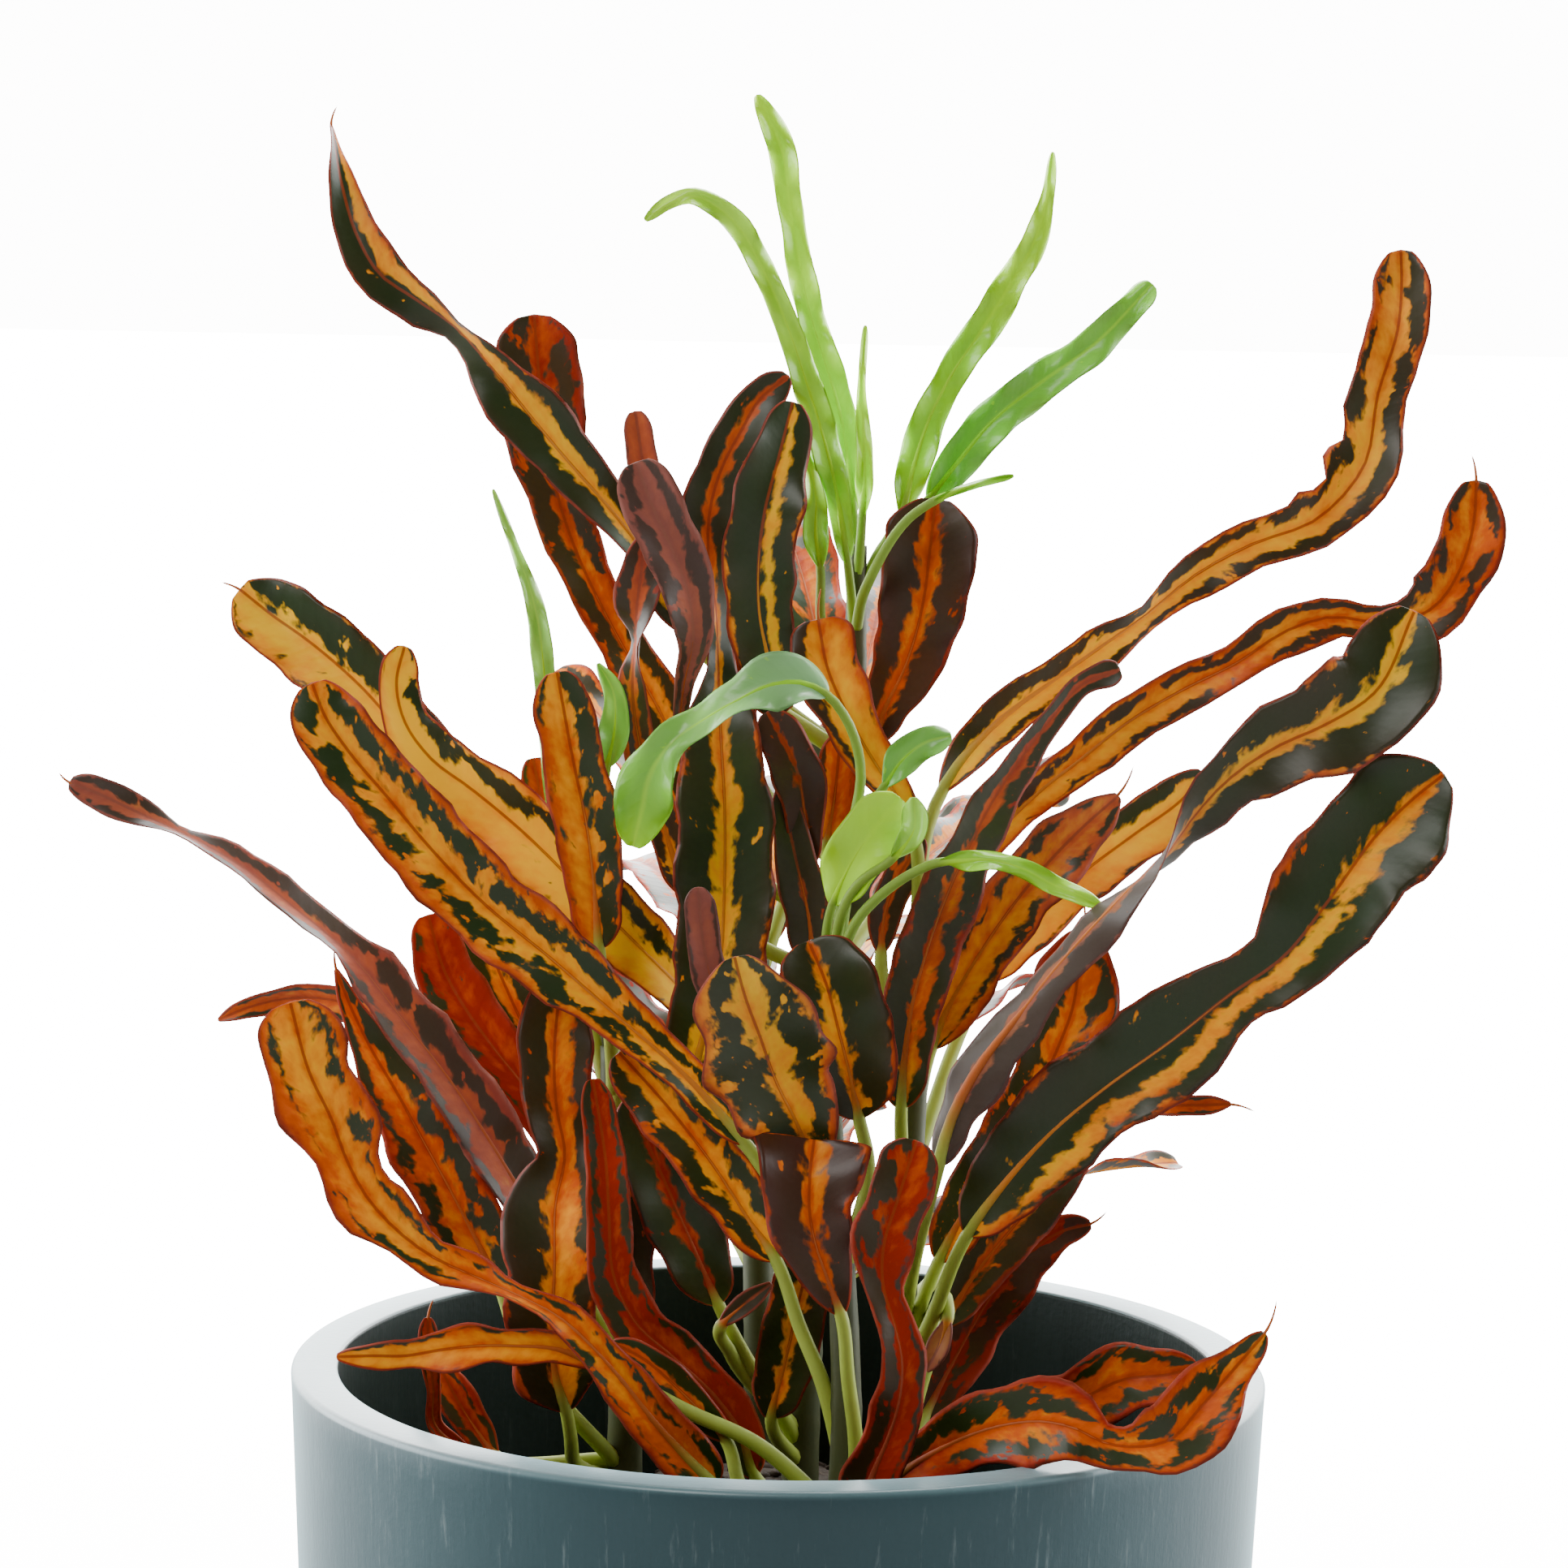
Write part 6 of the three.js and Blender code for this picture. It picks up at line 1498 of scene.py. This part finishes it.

# %% [markdown]
# ## The pot's finish
# The wall is blue-grey and finely scuffed: faint pale streaks run down from the rim, where hands
# and water wear it, and the mould leaves a fine grain. A thin satin glaze outside catches the side
# lights. The inside is dull and painted a darker grey-green, as painted shade in the pot's hollow,
# and its faces have a material of their own.

# %% Pot colours and limits
POT_BLUE = (0.0015, 0.025, 0.032)
POT_PALE = (0.006, 0.041, 0.049)
POT_LIP = (0.10, 0.17, 0.18)
# The inside's two colours are darker and greyer than the wall's: painted shade in the pot's hollow.
POT_INSIDE_SHADE = (0.012, 0.019, 0.016)
POT_HOLLOW_SHADE = (0.010, 0.016, 0.013)
SCUFF = (0.26, 0.31, 0.31)
SCUFF_AT = (0.74, 0.95)
SCUFF_COVER = 0.25
RIM_SCUFF_COVER = 0.3
RIM_ZONE = (0.110, 0.146)
LIP_ZONE = (0.1486, 0.1496)
STREAK_SCALE = 700.0
STREAK_LENGTHENING = 0.12
GRAIN_SCALE = 900.0
CLOUD_SCALE = 18.0
CLOUD_IN_SCUFFS = 0.35
STREAK_ROUGH = 0.12
POT_ROUGH = 0.36
INSIDE_RADIUS = inner_rim + 0.1
INSIDE_ABOVE = 5.0


# %% Pot materials
def pot_material(name, dark, pale, lip_share, scuff_share, gloss):
    material, tree = new_material(name)
    spot = coordinates(tree)
    x, y, z = split(spot)
    streaks = noise_field(gather(x, y, z * STREAK_LENGTHENING), STREAK_SCALE, 5.0, 0.65)
    clouds = noise_field(spot, CLOUD_SCALE, 3.0)
    grain = noise_field(spot, GRAIN_SCALE, 3.0)
    scuff = ramp_up(streaks + clouds * CLOUD_IN_SCUFFS, *SCUFF_AT)
    worn = scuff * (ramp_up(z, *RIM_ZONE) * RIM_SCUFF_COVER + SCUFF_COVER)
    color = blend(clouds, dark, pale)
    color = blend(ramp_up(z, *LIP_ZONE) * lip_share, color, POT_LIP)
    color = blend(worn * scuff_share, color, SCUFF)
    settings = {
        "Base Color": color,
        "Roughness": streaks * STREAK_ROUGH + POT_ROUGH,
        "Specular Tint": (0.80, 0.95, 1.0),
        "Sheen Tint": (0.62, 0.92, 1.0),
        "Sheen Roughness": 0.28,
        "Coat Roughness": 0.30,
    }
    names = ("Specular IOR Level", "Sheen Weight", "Coat Weight")
    finish(tree, settings | dict(zip(names, gloss)), relief=(grain * 0.6 + streaks, 0.25, 0.0003))
    return material


outer_wall = pot_material("pot_wall", POT_BLUE, POT_PALE, 0.7, 0.5, (0.45, 1.0, 0.50))
# The inside: darker colours as painted shade, little gloss, and no glaze or sheen.
inner_wall = pot_material("pot_inner_wall_painted_shade", POT_INSIDE_SHADE, POT_HOLLOW_SHADE, 0.0, 0.1, (0.15, 0.0, 0.0))
pot_bm = spin_section(pot_section)
for face in pot_bm.faces:
    middle = face.calc_center_median() / MM
    face.material_index = int(middle.xy.length < INSIDE_RADIUS and middle.z > INSIDE_ABOVE)
pot = new_piece("pot_shell", pot_bm, outer_wall, ["pot"])
pot.data.materials.append(inner_wall)


# %% [markdown]
# ## The soil
# Potting mix is dark, loose and crumbly. A spun disc with the root ball's section is pushed up and
# down by noise, and crumbs of bark are strewn on it by seeded draws.

# %% Soil and crumbs
CLEAR = 0.3
SOIL_TOP = [(0.0, 130.0), (14.0, 129.0), (30.0, 126.0), (48.0, 120.0), (62.0, 114.5)]
SOIL_AT_WALL = 112.5
SOIL_EDGE = inner_at(SOIL_AT_WALL) - CLEAR
SOIL_RINGS = 28
SOIL_STEPS = 140
SIDE_TOP = SOIL_AT_WALL - 2.0
SOIL_SUNK = 0.8
SMOOTH_SIDE = 1.5
SMOOTH_EDGE = 0.5
SOIL_LUMPS = (160.0, 1.0)
SOIL_GRAINS = (420.0, 0.6)
CRUMBS = 260
CRUMB_SIZE = (0.7, 2.0)
CRUMB_LUMPS = 0.25
CRUMB_SUNK = 0.3
CRUMB_MARGIN = 3.0
SOIL_DARK = (0.008, 0.006, 0.004)
SOIL_BROWN = (0.045, 0.030, 0.018)
SOIL_PALE = (0.07, 0.05, 0.03)


def soil_height(radius):
    line = SOIL_TOP + [(SOIL_EDGE, SOIL_AT_WALL)]
    for (r0, z0), (r1, z1) in zip(line, line[1:]):
        if radius <= r1:
            return mix(z0, z1, (radius - r0) / (r1 - r0))
    return SOIL_AT_WALL


def soil_bump(spot):
    return sum(noise.noise(spot * scale) * height for scale, height in (SOIL_LUMPS, SOIL_GRAINS))


def soil_surface():
    bottom = FLOOR + CLEAR
    section = [(0.0, bottom), (inner_at(bottom) - CLEAR, bottom), (SOIL_EDGE, SIDE_TOP)]
    radii = [SOIL_EDGE * (1.0 - i / SOIL_RINGS) for i in range(SOIL_RINGS + 1)]
    section += [(r, soil_height(r) - SOIL_SUNK) for r in radii]
    bm = spin_section(section, steps=SOIL_STEPS)
    lowest, widest = (SOIL_AT_WALL - SMOOTH_SIDE) * MM, (SOIL_EDGE - SMOOTH_EDGE) * MM
    for vert in bm.verts:
        if vert.co.z > lowest and vert.co.xy.length < widest:
            vert.co.z += soil_bump(vert.co) * MM
    return bm


def strew_crumbs(bm):
    draw = random.Random(7)
    for _ in range(CRUMBS):
        radius = (SOIL_EDGE - CRUMB_MARGIN) * math.sqrt(draw.random())
        angle = draw.uniform(0.0, 2.0 * math.pi)
        size = draw.uniform(*CRUMB_SIZE) * MM
        height = soil_height(radius) - CRUMB_SUNK
        centre = Vector((radius * math.cos(angle), radius * math.sin(angle), height)) * MM
        crumb = bmesh.ops.create_icosphere(bm, subdivisions=1, radius=size)["verts"]
        stretch = Vector((draw.uniform(0.7, 1.6), draw.uniform(0.7, 1.3), draw.uniform(0.5, 0.8)))
        spin = Matrix.Rotation(draw.uniform(0.0, math.pi), 3, "Z")
        for vert in crumb:
            shaped = Vector([a * b for a, b in zip(vert.co, stretch)])
            lump = 1.0 + CRUMB_LUMPS * noise.noise(vert.co * 2500.0 + centre * 900.0)
            vert.co = centre + spin @ (shaped * lump)


# %% Soil material
def soil_material():
    material, tree = new_material("potting_mix")
    spot = coordinates(tree)
    fine = noise_field(spot, 900.0, 3.0)
    color = blend(noise_field(spot, 190.0, 4.0), SOIL_DARK, SOIL_BROWN)
    color = blend(ramp_up(fine, 0.6, 0.8), color, SOIL_PALE)
    settings = {"Base Color": color, "Roughness": 0.9, "Specular IOR Level": 0.2}
    finish(tree, settings, relief=(fine, 0.6, 0.0008))
    return material


# %% Build the soil
soil_bm = soil_surface()
strew_crumbs(soil_bm)
new_piece("soil_surface", soil_bm, soil_material(), ["potting_soil"])

# %% [markdown]
# ## Floor and light
# The pot stands on a plain pale floor in a white room, as in a small product studio, with large
# soft lights at both sides and smaller ones in front and above. The photograph's background is
# burnt out to white, so the room and the floor away from the pot glow for the camera. Close to the
# pot the floor is plain, and shows its shadow.

# %% Pale floor
FLOOR_HALF = 4.0
FLOOR_DROP = 0.0002
FLOOR_GREY = (0.28, 0.28, 0.28)
SEEN_GLOW = 14.0
ROOM_GLOW = 4.0
BACK_GLOW = 8.0
AIR_GLOW = 0.1
NEAR_POT_GLOW = 0.10
FLOOR_FADE = (0.08, 0.38)
ROOM_FLOOR = (0.25, 0.9)
WALL_START = (0.36, 0.48)
WALL_DEEP = (0.6, 0.85)
WALL_FOOT = (-0.02, 0.02)
CEILING = (0.70, 0.86)
WARM_WHITE = (1.0, 0.985, 0.975)


def floor_object():
    bm = bmesh.new()
    bmesh.ops.create_grid(bm, x_segments=1, y_segments=1, size=FLOOR_HALF)
    bmesh.ops.translate(bm, vec=(0.0, 0.0, -FLOOR_DROP), verts=bm.verts)
    mesh = bpy.data.meshes.new("pale_floor")
    bm.to_mesh(mesh)
    bm.free()
    return link("pale_floor", mesh)


def floor_material():
    material, tree = new_material("pale_floor")
    x, y, _ = split(coordinates(tree))
    from_axis = add(tree, "ShaderNodeVectorMath", operation="LENGTH")
    feed(gather(x, y, 0.0), from_axis.inputs[0])
    away = ramp_up(Field(from_axis.outputs["Value"]), *FLOOR_FADE) ** 2.0
    seen = camera_rays(tree) * (away + NEAR_POT_GLOW).clamped() * SEEN_GLOW
    settings = {
        "Base Color": FLOOR_GREY,
        "Roughness": 0.9,
        "Specular IOR Level": 0.0,
        "Emission Color": WARM_WHITE,
        "Emission Strength": seen + ramp_up(y, *ROOM_FLOOR) * ROOM_GLOW,
    }
    finish(tree, settings)
    return material


floor = floor_object()
floor.data.materials.append(floor_material())


# %% White room
def white_room():
    """A room that is white to the camera and lights the plant from behind, up to its ceiling."""
    world = bpy.data.worlds.new("studio_air")
    bpy.context.scene.world = world
    world.use_nodes = True
    tree = world.node_tree
    air = tree.nodes["Background"]
    _, back, up = split(coordinates(tree, "Generated"))
    wall = ramp_up(back, *WALL_START) * ramp_up(up, *WALL_FOOT)
    glow = wall * (1.0 - ramp_up(up, *CEILING)) * ROOM_GLOW
    deep = ramp_up(back, *WALL_DEEP) * (wall * BACK_GLOW)
    feed(WARM_WHITE, air.inputs["Color"])
    feed(glow + deep + AIR_GLOW + camera_rays(tree) * SEEN_GLOW, air.inputs["Strength"])


white_room()

# %% Soft studio lights
LIT_POINT = Vector((0.0, 0.0, 0.2))
COOL = (0.94, 0.98, 1.0)
WARM = (1.0, 0.985, 0.96)
WHITE = (1.0, 1.0, 1.0)


def soft_light(name, position, size, power, color):
    data = bpy.data.lights.new(name, "AREA")
    data.shape = "SQUARE"
    data.size = size
    data.energy = power
    data.color = color
    light = link(name, data)
    towards = (LIT_POINT - Vector(position)).to_track_quat("-Z", "Y").to_matrix().to_4x4()
    light.matrix_world = Matrix.Translation(position) @ towards


soft_light("side_left", (-1.5, 0.35, 0.5), 1.6, 84.0, COOL)
soft_light("side_right", (1.5, 0.35, 0.5), 1.6, 70.0, COOL)
soft_light("key_front", (-0.6, -1.2, 1.3), 0.7, 16.0, WARM)
soft_light("top", (0.1, 0.5, 1.4), 0.6, 18.0, WHITE)
print("lights:", sorted(light.name for light in bpy.data.lights))
